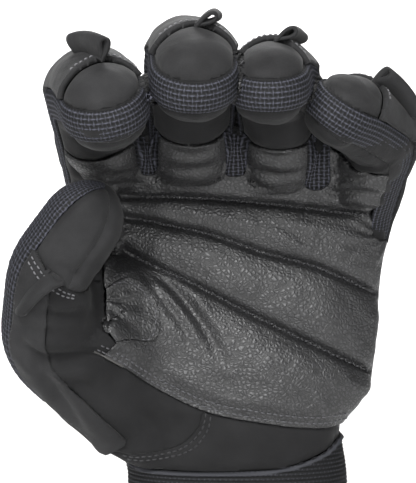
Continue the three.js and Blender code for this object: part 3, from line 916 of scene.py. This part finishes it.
def leather_material():
    """Goat leather, embossed in pebbles about a millimetre wide: half-gloss plateaus and matt cracks."""
    material, tree, shader = new_material("pebbled_leather")
    coords = add_node(tree, "ShaderNodeTexCoord").outputs["Object"]
    warp = add_node(tree, "ShaderNodeTexNoise", {"Vector": coords, "Scale": 1 / (GRAIN_BEND * MM),
                                                 "Detail": 2.0})
    shift = add_node(tree, "ShaderNodeVectorMath", {0: warp.outputs["Color"], 1: (0.5, 0.5, 0.5)},
                     operation="SUBTRACT")
    pushed = add_node(tree, "ShaderNodeVectorMath", {0: shift.outputs[0], "Scale": GRAIN_SHIFT * MM},
                      operation="SCALE")
    place = add_node(tree, "ShaderNodeVectorMath", {0: coords, 1: pushed.outputs[0]}, operation="ADD")
    pebbles = add_node(tree, "ShaderNodeTexVoronoi", {"Vector": place.outputs[0],
                                                      "Scale": 1 / (GRAIN * MM)}, feature="DISTANCE_TO_EDGE")
    plateau = add_node(tree, "ShaderNodeMapRange", {0: pebbles.outputs["Distance"], 1: 0.0, 2: 0.34},
                       interpolation_type="SMOOTHSTEP")
    fine = add_node(tree, "ShaderNodeTexNoise", {"Vector": coords, "Scale": 1 / (PORES * MM), "Detail": 2.0})
    wide = add_node(tree, "ShaderNodeTexNoise", {"Vector": coords, "Scale": 1 / (LEATHER_SWELL * MM),
                                                 "Detail": 4.0})
    height = add_node(tree, "ShaderNodeMath", {0: fine.outputs["Fac"], 1: 0.25, 2: plateau.outputs[0]},
                      operation="MULTIPLY_ADD")
    grain = add_node(tree, "ShaderNodeBump", {"Height": height.outputs[0], "Strength": 0.7,
                                              "Distance": 0.15 * MM})
    swell = add_node(tree, "ShaderNodeBump", {"Height": wide.outputs["Fac"], "Strength": 0.5,
                                              "Distance": 1.2 * MM, "Normal": grain.outputs[0]})
    # The colour darkens from the pebbles' plateaus down into the cracks between them: painted shade in the
    # cracks.
    colour = add_node(tree, "ShaderNodeValToRGB", {"Fac": plateau.outputs[0]},
                      stops=[(0.0, "#101011"), (0.35, "#1c1c1d"), (1.0, "#29292b")])
    gloss = add_node(tree, "ShaderNodeMapRange", {0: plateau.outputs[0], 3: 0.58, 4: 0.37})
    tree.links.new(colour.outputs["Color"], shader.inputs["Base Color"])
    tree.links.new(gloss.outputs[0], shader.inputs["Roughness"])
    tree.links.new(swell.outputs[0], shader.inputs["Normal"])
    shader.inputs["IOR"].default_value = 1.5
    shader.inputs["Specular IOR Level"].default_value = 0.8
    return material


def cloth_material(name, dark, light):
    """Brushed microfibre bonded to thin foam: a matt, even nap with fine lint."""
    material, tree, shader = new_material(name)
    coords = add_node(tree, "ShaderNodeTexCoord").outputs["Object"]
    nap = add_node(tree, "ShaderNodeTexNoise", {"Vector": coords, "Scale": 1 / (LINT * MM), "Detail": 4.0,
                                                "Roughness": 0.7})
    wide = add_node(tree, "ShaderNodeTexNoise", {"Vector": coords, "Scale": 1 / (CLOTH_SWELL * MM),
                                                 "Detail": 3.0})
    mix = add_node(tree, "ShaderNodeMath", {0: nap.outputs["Fac"], 1: 0.6, 2: wide.outputs["Fac"]},
                   operation="MULTIPLY_ADD")
    colour = add_node(tree, "ShaderNodeValToRGB", {"Fac": mix.outputs[0]},
                      stops=[(0.55, dark), (1.0, light)])
    bump = add_node(tree, "ShaderNodeBump", {"Height": nap.outputs["Fac"], "Strength": 0.5,
                                             "Distance": 0.12 * MM})
    swell = add_node(tree, "ShaderNodeBump", {"Height": wide.outputs["Fac"], "Strength": 0.4,
                                              "Distance": 1.5 * MM, "Normal": bump.outputs[0]})
    tree.links.new(colour.outputs["Color"], shader.inputs["Base Color"])
    tree.links.new(swell.outputs[0], shader.inputs["Normal"])
    shader.inputs["Roughness"].default_value = 0.8
    shader.inputs["Sheen Weight"].default_value = 0.06
    shader.inputs["Sheen Roughness"].default_value = 0.5
    shader.inputs["Specular IOR Level"].default_value = 0.3
    return material


def knit_material(name, hole_shade, thread):
    """Polyester spacer knit: matt round threads, coloured darker down towards the holes and between the rows
    as painted shade; the thread attribute is its height.
    """
    material, tree, shader = new_material(name)
    height = add_node(tree, "ShaderNodeAttribute", attribute_name="thread").outputs["Fac"]
    coords = add_node(tree, "ShaderNodeTexCoord").outputs["Object"]
    fibre = add_node(tree, "ShaderNodeTexNoise", {"Vector": coords, "Scale": 1 / (FIBRE * MM),
                                                  "Detail": 2.0})
    mix = add_node(tree, "ShaderNodeMath", {0: fibre.outputs["Fac"], 1: 0.3, 2: height},
                   operation="MULTIPLY_ADD")
    # The colour follows the thread height, so the low ground between the threads gets painted shade.
    colour = add_node(tree, "ShaderNodeValToRGB", {"Fac": mix.outputs[0]},
                      stops=[(0.3, hole_shade), (0.75, "#191a1d"), (1.0, thread)])
    bump = add_node(tree, "ShaderNodeBump", {"Height": fibre.outputs["Fac"], "Strength": 0.5,
                                             "Distance": 0.08 * MM})
    tree.links.new(colour.outputs["Color"], shader.inputs["Base Color"])
    tree.links.new(bump.outputs[0], shader.inputs["Normal"])
    shader.inputs["Roughness"].default_value = 0.75
    shader.inputs["Specular IOR Level"].default_value = 0.35
    return material


def thread_material(name, colour):
    """Twisted polyester sewing thread with a slight shine."""
    material, tree, shader = new_material(name)
    coords = add_node(tree, "ShaderNodeTexCoord").outputs["Object"]
    twist = add_node(tree, "ShaderNodeTexNoise", {"Vector": coords, "Scale": 1 / (TWIST * MM)})
    bump = add_node(tree, "ShaderNodeBump", {"Height": twist.outputs["Fac"], "Strength": 0.6,
                                             "Distance": 0.06 * MM})
    tree.links.new(bump.outputs[0], shader.inputs["Normal"])
    shader.inputs["Base Color"].default_value = linear(colour)
    shader.inputs["Roughness"].default_value = 0.5
    return material


LEATHER = leather_material()
CLOTH_GREY = cloth_material("brushed_microfibre", "#1b1b1c", "#2c2c2d")
# Black microfibre for the heel, the back and the thumb's base; it is also laid on the finger tip pads as
# painted shade.
BLACK_CLOTH_AND_PAD_SHADE = cloth_material("black_microfibre", "#111112", "#1e1e1f")
# Each knit's first colour is the painted shade in its holes, the second its threads' own colour.
KNIT = knit_material("spacer_knit", "#030304", "#494a54")
RIB = knit_material("rib_knit", "#050506", "#3a3b40")
GREY_THREAD = thread_material("grey_thread", "#4e4e51")
DARK_THREAD = thread_material("dark_thread", "#303032")
CUT_EDGE = thread_material("leather_cut_edge", "#4a4948")
PALE_THREAD = thread_material("pale_thread", "#6d6d70")


# Cutting the skin into panels, in the order of the solids
points, triangles, normal = skin_mesh()
rest = (sheet_of(points, normal), triangles)
rest = cut_sheet(*rest, rest[0][:, 2])[0]

HALF_BAND = BAND_WIDTH / 2
PANEL_START = -0.015 * FINGER_LENGTH
PAD_START = 0.30 * FINGER_LENGTH
SKIN_REACH = 2.6
THUMB_BAND_START = 0.34 * THUMB_LENGTH
THUMB_BACK_START = 0.10 * THUMB_LENGTH
THUMB_MORE = 1.5
THUMB_BACK_MORE = 2
THUMB_HEM = thumb.joints[2] + 0.03 * THUMB_LENGTH
HEM_TILT = 0.4

# Angles round the thumb, in degrees from its outer side towards the viewer
BAND_ANGLES = (-8, 44)
CAP_ANGLES = (44, 112)
BACK_ANGLES = (44, 88)

# The arched seam of a finger: its feet back from the tip and its rise in cap lengths, and how far its feet
# stand past the finger's sides in millimetres; the tab is sewn at its peak, whose place is the last value,
# back from the tip in cap lengths
ARCH_POWER = 1.3
ARCH_FOOT = 0.66
ARCH_RISE = 0.34
ARCH_PAST = 3
ARCH_PEAK = 0.8325


def owned(table, limb):
    """Above zero where the skin belongs to a limb."""
    own = column(table, f"{limb.name}_d")
    others = [column(table, f"{other.name}_d") for other in limbs if other is not limb]
    return np.minimum(np.min(others, axis=0) - own, SKIN_REACH - own)


def arch_frame(limb):
    """The place between the feet of a finger's arched seam, and the ways ahead and outwards there."""
    foot = limb.total - ARCH_FOOT * CAP_LENGTH * limb.cap
    return [np.array([np.interp(foot, limb.s, rows[:, i]) for i in range(3)])
            for rows in (limb.line, limb.ahead, limb.outer)]


def arch_value(table, limb):
    """Above zero on the tip's side of a finger's arched seam."""
    middle, ahead, _ = arch_frame(limb)
    off = table[:, 0:3] - middle
    across = (off @ limb.side - limb.arch * limb.wide) / (limb.wide / 2 + ARCH_PAST)
    rise = ARCH_RISE * CAP_LENGTH * limb.cap
    return off @ ahead - (np.abs(across) ** ARCH_POWER - 1) * rise


def hem_value(table):
    """Above zero on the tip's side of the thumb's slanted hem."""
    return column(table, "thumb_s") - THUMB_HEM - HEM_TILT * column(table, "thumb_n")


def around(table):
    """Angle round the thumb, in degrees from its outer side towards the viewer."""
    return np.degrees(np.arctan2(-column(table, "thumb_t"), column(table, "thumb_n")))


def between(value, low, high):
    """Above zero from low to high."""
    return np.minimum(value - low, high - value)


def carve(value):
    """Takes the part above zero out of what is left of the skin."""
    global rest
    part, rest = cut_sheet(*rest, value)
    return part


# The border between front and back, in x and y
FRONT_LINE = np.array([(-66, -42), (-43, -20), (-30, 2.6), (100, 2.6)])


def front_value(table):
    """Above zero on the palm's side."""
    return np.interp(table[:, 0], FRONT_LINE[:, 0], FRONT_LINE[:, 1]) - table[:, 1]


parts = {}
radius = THUMB_WIDTH / 2


def front_side():
    """The front side of what is left."""
    return front_value(rest[0])


def thumb_part(start):
    """Above zero on the thumb from start on."""
    return np.minimum(owned(rest[0], thumb) + THUMB_MORE, column(rest[0], "thumb_s") - start)


def past_hem():
    """Above zero on the thumb's tip."""
    return np.minimum(thumb_part(0), hem_value(rest[0]))


def arc_between(angles):
    """Above zero between two angles round the thumb, in millimetres along its skin."""
    return between(around(rest[0]), *angles) * math.pi / 180 * radius


parts["wrist_cuff"] = carve(-above_line(rest[0][:, [0, 2]], CUFF_EDGE))
parts["thumb_knit_band"] = carve(np.minimum(thumb_part(THUMB_BAND_START), arc_between(BAND_ANGLES)))
parts["thumb_nail_cap"] = carve(np.minimum(past_hem(), arc_between(CAP_ANGLES)))
parts["thumb_tip_pad"] = carve(past_hem())
parts["thumb_back_panel"] = carve(np.minimum.reduce([
    thumb_part(THUMB_BACK_START) + THUMB_BACK_MORE, -hem_value(rest[0]), arc_between(BACK_ANGLES)]))


def finger_part(limb, start, outer=False):
    """Above zero on a finger from start on, or on its outer half alone."""
    value = np.minimum(owned(rest[0], limb), column(rest[0], f"{limb.name}_s") - start)
    return np.minimum(value, column(rest[0], f"{limb.name}_n")) if outer else value


for limb in fingers:
    flank = HALF_BAND - np.abs(column(rest[0], f"{limb.name}_n"))
    parts[f"{limb.name}_knit_band"] = carve(np.minimum(finger_part(limb, PANEL_START), flank))
    cap = np.minimum(finger_part(limb, PAD_START, outer=True), arch_value(rest[0], limb))
    parts[f"{limb.name}_nail_cap"] = carve(cap)
    parts[f"{limb.name}_back_panel"] = carve(finger_part(limb, PANEL_START, outer=True))
    parts[f"{limb.name}_tip_pad"] = carve(finger_part(limb, PAD_START))

# Knit tongues between the fingers: name, then x and the height of the rounded foot in millimetres
GUSSETS = [("index_middle", -28.6, 127.5), ("middle_ring", -0.8, 127.0), ("ring_little", 24.6, 122.5)]
GUSSET_LENGTH = 0.22 * PALM_LENGTH
for name, x, foot in GUSSETS:
    half = GUSSET_WIDTH / 2
    aside, up = rest[0][:, 0] - x, rest[0][:, 2] - foot - half
    tongue = half - np.where(up < 0, np.hypot(aside, up), np.abs(aside))
    below_top = foot + GUSSET_LENGTH - rest[0][:, 2]
    parts[f"{name}_gusset"] = carve(np.minimum.reduce([tongue, below_top, front_side()]))


def base_value(table):
    """Above zero on the thumb's base panel: left of its arc and below the leather's hem."""
    flat = table[:, [0, 2]]
    far, _ = line_distance(flat, BASE_ARC)
    within = flat[:, 1] > np.interp(flat[:, 0], BASE_ARC[::-1, 0], BASE_ARC[::-1, 1])
    within &= flat[:, 0] <= BASE_ARC[0, 0]
    return np.minimum(np.where(within, far, -far), -above_line(flat, HEM))


on_thumb = np.minimum(thumb_part(THUMB_BAND_START), 1 - hem_value(rest[0]))
parts["thumb_base_panel"] = carve(np.maximum(np.minimum(base_value(rest[0]), front_side()), on_thumb))
parts["thumb_crotch_patch"] = carve(np.minimum(inside_loop(rest[0][:, [0, 2]], PATCH_LOOP), front_side()))
parts["palm_leather"] = carve(np.minimum(above_line(rest[0][:, [0, 2]], HEM), front_side()))
parts["heel_panel"] = carve(front_side())
parts["back_panel"] = rest

# How each panel looks: material, slot, lift and rise at its edge in millimetres
LOOKS = {
    "heel_panel": (BLACK_CLOTH_AND_PAD_SHADE, "fabric", 0.0, -0.5),
    "palm_leather": (LEATHER, "leather", 0.7, -0.1),
    "back_panel": (BLACK_CLOTH_AND_PAD_SHADE, "fabric", 0.0, -0.5),
    "thumb_base_panel": (BLACK_CLOTH_AND_PAD_SHADE, "fabric", 0.1, -0.5),
    "thumb_crotch_patch": (LEATHER, "leather", 1.2, 0.0),
    "thumb_back_panel": (CLOTH_GREY, "fabric", 0.7, 0.0),
    "thumb_nail_cap": (CLOTH_GREY, "fabric", 0.2, -1.0),
    "thumb_tip_pad": (CLOTH_GREY, "fabric", 0.2, -1.0),
}
FINGER_LOOKS = {
    "nail_cap": (CLOTH_GREY, "fabric", 0.1, -0.9, 1.4),
    # The fingers' tip pads take the black cloth, darker than their grey caps, as painted shade under the
    # curled fingertips.
    "tip_pad": (BLACK_CLOTH_AND_PAD_SHADE, "fabric", 0.1, -0.9, 1.4),
    "back_panel": (CLOTH_GREY, "fabric", 0.9, 0.3, 2.2),
}
for name, (material, slot, lift, edge) in LOOKS.items():
    fine = 1 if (material is LEATHER) else 0
    panel(name, *parts[name], material, slot, lift, edge, fine=fine)
for limb in fingers:
    for kind, look in FINGER_LOOKS.items():
        panel(f"{limb.name}_{kind}", *parts[f"{limb.name}_{kind}"], *look)
    panel(f"{limb.name}_band_backing", *parts[f"{limb.name}_knit_band"], BLACK_CLOTH_AND_PAD_SHADE, "knit", -0.8, 0.2)
for name, _, _ in GUSSETS:
    panel(f"{name}_gusset", *parts[f"{name}_gusset"], KNIT, "knit", -0.2, -0.4, fine=2, knit=True)


FINE = 0.35
KNIT_LIFT = 0.1
KNIT_WALL = 1.2
EDGE_SINK = 0.5
EDGE_SOFT = 0.7


def knit_grid(name, field, guess, u, v):
    """A fine grid on the skin with raised threads: u runs along the strip and v across, in millimetres."""
    uu, vv = np.meshgrid(u, v, indexing="ij")
    points = guess(uu.ravel(), vv.ravel())
    points, normal = settle(field, points, 3)
    thread = waffle(uu, vv).ravel()
    edge = np.minimum(vv - v[0], v[-1] - vv).ravel()
    rise = KNIT_LIFT + KNIT_HEIGHT * thread - EDGE_SINK * hump(edge, EDGE_SOFT)
    points = points + normal * rise[:, None]
    piece = mesh_object(f"{name}_cloth", points, ring_faces(len(u), len(v), closed=False))
    add_attribute(piece, "thread", thread)
    wall(piece, KNIT_WALL)
    finish_piece(piece, name, KNIT)


TIP_NARROW = 0.9


def finger_band(limb):
    """The knit strip up one side of a finger, over its tip and down the other side."""
    dome = limb.wide * TIP_ROUND
    bend = limb.total - dome
    leg = bend - PANEL_START
    cap = math.pi / 2 * (dome + limb.wide / 2 * TIP_NARROW)
    total = 2 * leg + cap
    u = np.arange(0, total, FINE)
    v = np.linspace(-HALF_BAND, HALF_BAND, int(BAND_WIDTH / FINE) + 1)

    def guess(uu, vv):
        """Places near the skin for places on the strip."""
        side = np.where(uu < total / 2, 1.0, -1.0)
        way = np.minimum(uu, total - uu)
        turn = np.clip((way - leg) / cap, 0, 1) * math.pi
        s = np.where(way < leg, PANEL_START + way, bend + dome * np.sin(turn))
        girth = girth_at(limb, np.minimum(s, bend))
        narrow = (1 - np.abs(vv / (limb.deep / 2)) ** OVAL_POWER) ** (1 / OVAL_POWER)
        reach = limb.wide / 2 * girth * narrow
        return along(limb, s, vv, side * reach * np.cos(turn))

    field = lambda p: blend_of(body_field(p), limb_distance(limb, limb_place(limb, p)), LIMB_BLEND)
    knit_grid(f"{limb.name}_knit_band", field, guess, u, v)


for limb in fingers:
    finger_band(limb)


TIP_REACH = 0.92


def thumb_band():
    """The knit strip along the thumb's outer side, which ends just short of its tip."""
    start = THUMB_BAND_START
    dome = thumb.wide * TIP_ROUND
    leg = thumb.total - dome - start
    total = leg + dome * math.pi / 2 * TIP_REACH
    u = np.arange(0, total, FINE)
    half = math.radians(BAND_ANGLES[1] - BAND_ANGLES[0]) / 2 * radius
    middle = math.radians(sum(BAND_ANGLES) / 2)
    v = np.linspace(-half, half, int(2 * half / FINE) + 1)

    def guess(uu, vv):
        """Places near the skin for places on the strip."""
        turn = np.clip((uu - leg) / dome, 0, math.pi / 2)
        s = np.where(uu < leg, start + uu, thumb.total - dome + dome * np.sin(turn))
        girth = girth_at(thumb, np.minimum(s, thumb.total - dome)) * np.cos(turn)
        angle = middle + vv / radius
        n, t = thumb.deep / 2 * girth * np.cos(angle), -thumb.wide / 2 * girth * np.sin(angle)
        return along(thumb, s, n, t)

    knit_grid("thumb_knit_band", body_field, guess, u, v)


thumb_band()

# Cuff: rope-like rows round the wrist and a piping along its top, in millimetres
RIB_PITCH = 1.35
RIB_SLANT = 0.45
ROPE_ROUND = 0.8
ROPE_RISE = 0.75
STRAND_LOW = 0.45
STRAND_SHARE = 0.55
PIPING_PLACE = 0.8
PIPING_WIDTH = 0.6
PIPING_RISE = 0.7
CUFF_LIFT = 0.1
CUFF_START = 0.2
CUFF_TALLEST = 46


def cuff():
    """The ribbed cuff, from the wrist's opening to its slanting upper edge."""
    step = 0.5
    around_count = int(math.pi * (CUFF_WIDTH + CUFF_DEPTH) / 2 / step)
    a = np.arange(around_count) / around_count * 2 * np.pi
    rows = int(CUFF_TALLEST / step)
    aa, ww = np.meshgrid(a, np.linspace(0, 1, rows), indexing="xy")
    x = CUFF_WIDTH / 2 * np.cos(aa.ravel())
    y = CUFF_DEPTH / 2 * np.sin(aa.ravel())
    top = np.interp(x, CUFF_EDGE[:, 0], CUFF_EDGE[:, 1])
    z = ww.ravel() * (top - CUFF_START) + CUFF_START
    points = np.stack([x, y, z], axis=1)
    for _ in range(SETTLE_TIMES):
        d = hand_distance(points)
        flat_way = np.stack([points[:, 0] / CUFF_WIDTH ** 2, points[:, 1] / CUFF_DEPTH ** 2, 0 * d], axis=1)
        points = points - d[:, None] * flat_way / np.linalg.norm(flat_way, axis=1, keepdims=True)
    rise = gradient(hand_distance, points, hand_distance(points))
    normal = rise / np.linalg.norm(rise, axis=1, keepdims=True)
    arc = aa.ravel() * (CUFF_WIDTH + CUFF_DEPTH) / 4
    row = points[:, 2] / RIB_PITCH
    strand = swing(arc / RIB_PITCH + RIB_SLANT * row)
    thread = swing(row) ** ROPE_ROUND * (STRAND_LOW + STRAND_SHARE * strand)
    below = top - points[:, 2]
    piping = hump(below - PIPING_PLACE, PIPING_WIDTH)
    height = CUFF_LIFT + ROPE_RISE * thread + PIPING_RISE * piping - EDGE_SINK * hump(below, 0.5)
    points = points + normal * height[:, None]
    piece = mesh_object("wrist_cuff_cloth", points, ring_faces(rows, around_count))
    # The thread height also sets the rib knit's colour: painted shade in the grooves between the rows.
    add_attribute(piece, "thread", np.clip(thread * (1 - piping) + 1.1 * piping, 0, 1.1))
    wall(piece)
    finish_piece(piece, "wrist_cuff", RIB)


cuff()


# Pull tabs: a strip folded into a drop-shaped loop
TAB_POINTS = 40
TAB_RINGS = 14
TAB_CLEAR = 0.1


def drop_line(limb, s, lean, around_angle):
    """A loop that stands on a limb at s and at an angle round it: its places outwards and sideways."""
    radius_here = limb.deep / 2 * girth_at(limb, s) + TAB_CLEAR
    turn = np.arange(TAB_POINTS + 1) / TAB_POINTS * 2 * np.pi
    up = TAB_HEIGHT * (1 - np.cos(turn)) / 2
    wide = TAB_THICKNESS / 2 * np.sin(turn) * (0.25 + 1.1 * np.sin(turn / 2) ** 2)
    h = up * math.cos(lean) - wide * math.sin(lean)
    t = up * math.sin(lean) + wide * math.cos(lean)
    n = radius_here + h
    cos, sin = math.cos(around_angle), math.sin(around_angle)
    return n * cos + t * sin, t * cos - n * sin


def tab(limb, peak, lean, end_angle, start_angle):
    """A pull tab from its sewn end at the peak to its far end, at angles round the limb."""
    rings = []
    for share in np.linspace(0, 1, TAB_RINGS):
        angle = math.radians(end_angle + (start_angle - end_angle) * share)
        n, t = drop_line(limb, peak, math.radians(lean), angle)
        rings.append(along(limb, peak - TAB_LENGTH * (1 - share), n, t))
    points = np.vstack(rings)
    piece = mesh_object(f"{limb.name}_pull_tab_cloth", points, ring_faces(len(rings), len(n), closed=False))
    wall(piece, TAB_WALL)
    finish_piece(piece, f"{limb.name}_pull_tab", CLOTH_GREY)


for limb in fingers:
    lean_over = -math.degrees(math.asin(limb.arch * 2))
    peak = limb.total - ARCH_PEAK * CAP_LENGTH * limb.cap
    tab(limb, peak, limb.lean, lean_over + limb.slew, lean_over)
THUMB_TAB_ANGLES = (42, 74)
tab(thumb, THUMB_HEM + 2, thumb.lean, *THUMB_TAB_ANGLES)

# Stitches: small round-ended threads laid along a line on the skin
all_points = np.vstack([p for p, _ in skin_parts])
offsets = np.cumsum([0] + [len(p) for p, _ in skin_parts[:-1]])
all_faces = np.vstack([t + o for (_, t), o in zip(skin_parts, offsets)])
skin_tree = BVHTree.FromPolygons(all_points.tolist(), all_faces.tolist())
SIDES = 6
FRONT_REACH = 34.0
FACING = -0.2
JUMP = 3.0


def on_front(line, start=-FRONT_REACH):
    """Points and outward directions where a line of x and z meets the front of the skin."""
    out = []
    for x, z in line:
        hit, way, _, _ = skin_tree.ray_cast((x, start, z), (0, 1, 0), FRONT_REACH)
        if hit is not None and way[1] < FACING and (not out or abs(out[-1][0][1] - hit[1]) < JUMP):
            out.append((np.array(hit), np.array(way)))
    return out


def spaced(path, pitch):
    """Places and outward directions along a path, a pitch apart."""
    places = np.array([p for p, _ in path])
    ways = np.array([w for _, w in path])
    steps = np.concatenate([[0], np.cumsum(np.linalg.norm(np.diff(places, axis=0), axis=1))])
    at = np.arange(pitch / 2, steps[-1], pitch)
    pick = lambda table: np.stack([np.interp(at, steps, table[:, i]) for i in range(3)], axis=1)
    return pick(places), pick(ways)


# A stitch from end to end: share of its length, and girth
STITCH_RINGS = ((-0.5, 0.35), (-0.3, 0.95), (0, 1.0), (0.3, 0.95), (0.5, 0.35))
STITCH_DIP = 0.35
UNEVEN = 0.04


def add_stitch(points, faces, place, way, go, length, thick):
    """Adds one stitch that lies along go, its ends dipping into the cloth."""
    start = len(points)
    over = np.cross(go, way)
    for share, girth in STITCH_RINGS:
        dip = -STITCH_DIP * (2 * share) ** 2 * thick
        for k in range(SIDES):
            a = 2 * math.pi * k / SIDES
            points.append(place + go * share * length + over * math.cos(a) * thick / 2 * girth
                          + way * (math.sin(a) * thick / 2 * girth + dip))
    count = len(STITCH_RINGS)
    faces.extend(tuple(start + j for j in f) for f in ring_faces(count, SIDES))
    faces.append(tuple(range(start + SIDES - 1, start - 1, -1)))
    faces.append(tuple(range(start + (count - 1) * SIDES, start + count * SIDES)))


def stitches(name, paths, material, pitch=2.0, length=1.5, thick=0.55, slant=0.0, lift=0.12):
    """A row of stitches along each path, slanting by turns to one side and the other."""
    points, faces = [], []
    for path in paths:
        if len(path) < 3:
            continue
        places, ways = spaced(path, pitch)
        if len(places) < 3:
            continue
        ahead = np.gradient(places, axis=0)
        for i, (place, way, go) in enumerate(zip(places, ways, ahead)):
            go, way = unit(go), unit(way)
            tilt = slant * (1 if i % 2 else -1)
            lie = unit(go + tilt * unit(np.cross(go, way)))
            middle = place + way * lift + rng.normal(0, UNEVEN, 3)
            add_stitch(points, faces, middle, way, lie, length, thick)
    piece = mesh_object(name, points, faces)
    piece.data.materials.append(material)
    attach(piece, "root")


def stretch(line, left, right):
    """The part of a line between two x."""
    return line[(line[:, 0] > left) & (line[:, 0] < right)]


# The patch's stitches run inside its border, on a loop shrunk towards its middle; the ray that lays them
# starts behind the thumb
PATCH_MIDDLE = np.array([-35.0, 83.0])
PATCH_SHRINK = 0.93
BEHIND_THUMB = -30.0
stitches("palm_seam_stitches", [on_front(stretch(seam, -33, 43)) for seam in PALM_SEAMS], DARK_THREAD,
         pitch=1.6, length=1.6, thick=0.8, slant=0.6, lift=0.5)
hem_line = stretch(HEM, -50, 36)
stitches("hem_stitches", [on_front(hem_line + np.array([0, rise])) for rise in (1.4, 3.4)], GREY_THREAD)
arc_line = stretch(BASE_ARC, -38, 0)
stitches("base_seam_stitches", [on_front(arc_line + np.array(off)) for off in ((1.1, -0.9), (2.5, -2.0))],
         DARK_THREAD)
patch_line = stretch(PATCH_LOOP, -42, 0) * PATCH_SHRINK + PATCH_MIDDLE * (1 - PATCH_SHRINK)
stitches("patch_stitches", [on_front(patch_line, start=BEHIND_THUMB)], GREY_THREAD)


def cut_edge(name, path, thick, material):
    """A thin round edge laid along a path on the skin."""
    places, ways = spaced(path, thick)
    ahead = np.gradient(places, axis=0)
    points = []
    for place, way, go in zip(places, ways, ahead):
        go, way = unit(go), unit(way)
        over = np.cross(go, way)
        for k in range(SIDES):
            a = 2 * math.pi * k / SIDES
            points.append(place + way * (math.sin(a) * thick / 2) + over * math.cos(a) * thick / 2)
    piece = mesh_object(name, points, ring_faces(len(places), SIDES))
    piece.data.materials.append(material)
    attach(piece, "root")


cut_edge("hem_cut_edge", on_front(hem_line + np.array([0, 0.25])), 0.8, CUT_EDGE)

# The stitches at a finger's arch: how far they run to each side in half widths, and how far out in finger
# depths and how deep in millimetres the ray that lays them goes
ARCH_STITCHED = 0.6
ARCH_STEPS = 34
RAY_START = 0.62
RAY_REACH = 9.0


def arch_line(limb, back):
    """The arched seam's line on the skin, moved back from the tip."""
    place, ahead, outwards = arch_frame(limb)
    half = limb.wide / 2 + ARCH_PAST
    rise = ARCH_RISE * CAP_LENGTH * limb.cap
    path = []
    for across in np.linspace(-ARCH_STITCHED, ARCH_STITCHED, ARCH_STEPS):
        up = (abs(across) ** ARCH_POWER - 1) * rise - back
        start = place + limb.side * (across * half + limb.arch * limb.wide) + ahead * up
        start = start + outwards * limb.deep * RAY_START
        hit, way, _, _ = skin_tree.ray_cast(tuple(start), tuple(-outwards), RAY_REACH)
        if hit is not None:
            path.append((np.array(hit), np.array(way)))
    return path


stitches("finger_hem_stitches", [arch_line(limb, 1.6) for limb in fingers], PALE_THREAD, pitch=1.7,
         length=1.2, thick=0.5, lift=0.2)


STITCHED_ANGLES = (46, 126)


def thumb_hem_path(back):
    """A line on the skin along the thumb's slanted hem, moved back from the tip."""
    path = []
    for angle in np.radians(np.arange(*STITCHED_ANGLES, 1.0)):
        n, t = thumb.deep / 2 * math.cos(angle), -thumb.wide / 2 * math.sin(angle)
        place = along(thumb, THUMB_HEM + HEM_TILT * n - back, n, t)
        hit, way, _, far = skin_tree.find_nearest(tuple(place))
        if far < JUMP:
            path.append((np.array(hit), np.array(way)))
    return path


stitches("thumb_hem_stitches", [thumb_hem_path(1.2), thumb_hem_path(2.8)], PALE_THREAD, pitch=1.7,
         length=1.2, thick=0.5, lift=0.2)

# Stage, light and camera: the photo's height and the focal length in pixels, the camera's place in
# millimetres, and the stage and lights in metres
PHOTO_HEIGHT = 483
FOCAL = 1260.0
SENSOR = 36.0
CAMERA_AT = (-9.6, -418.0, 106.0)
FLOOR = -0.004
BEND = 0.5
BEND_STEPS = 12


def stage_material():
    """Matt white paint."""
    material, tree, shader = new_material("white_paint")
    shader.inputs["Base Color"].default_value = linear("#f4f4f4")
    shader.inputs["Roughness"].default_value = 0.9
    return material


def backdrop():
    """A pale floor that curves up behind."""
    profile = [(-1.4, FLOOR), (BEND, FLOOR)]
    for i in range(1, BEND_STEPS + 1):
        a = i / BEND_STEPS * math.pi / 2
        profile.append((BEND + BEND * math.sin(a), FLOOR + BEND * (1 - math.cos(a))))
    profile.append((2 * BEND, 2.2))
    points = [(x / MM, y / MM, z / MM) for x in (-2.5, 2.5) for y, z in profile]
    count = len(profile)
    faces = [(i, count + i, count + i + 1, i + 1) for i in range(count - 1)]
    floor = mesh_object("floor", points, faces)
    floor.data.materials.append(stage_material())


backdrop()


def area_light(name, place, aim, size, power):
    """A square light at a place, turned to shine at another."""
    data = bpy.data.lights.new(name, "AREA")
    data.shape = "SQUARE"
    data.size = size
    data.energy = power
    light = bpy.data.objects.new(name, data)
    light.location = place
    way = np.array(aim) - np.array(place)
    down = math.acos(-way[2] / np.linalg.norm(way))
    light.rotation_euler = (down, 0, math.atan2(way[1], way[0]) - math.pi / 2)
    bpy.context.scene.collection.objects.link(light)


PALM_MIDDLE = (0, -0.02, 0.09)
LIGHTS = [
    # name, place, aim, size in metres, power in watts
    ("key", (-0.13, -0.60, 0.52), PALM_MIDDLE, 0.30, 5.6),
    ("front", (0.05, -0.80, 0.24), PALM_MIDDLE, 0.30, 2.5),
    ("left_fill", (-0.8, -0.3, 0.30), PALM_MIDDLE, 0.4, 0.5),
    ("right_fill", (0.8, -0.45, 0.3), PALM_MIDDLE, 0.4, 0.6),
    ("back_wash", (0, 0.55, 0.95), (0, 1.0, 0.1), 0.6, 14),
]
for light in LIGHTS:
    area_light(*light)

world = bpy.data.worlds.new("studio")
world.use_nodes = True
world.node_tree.nodes["Background"].inputs["Color"].default_value = (1, 1, 1, 1)
world.node_tree.nodes["Background"].inputs["Strength"].default_value = 0.02
bpy.context.scene.world = world
bpy.context.scene.view_settings.view_transform = "Standard"

camera_data = bpy.data.cameras.new("camera")
camera_data.sensor_width = SENSOR
camera_data.lens = FOCAL * SENSOR / PHOTO_HEIGHT
camera = bpy.data.objects.new("camera", camera_data)
camera.location = tuple(v * MM for v in CAMERA_AT)
camera.rotation_euler = (math.pi / 2, 0, 0)
bpy.context.scene.collection.objects.link(camera)
bpy.context.scene.camera = camera
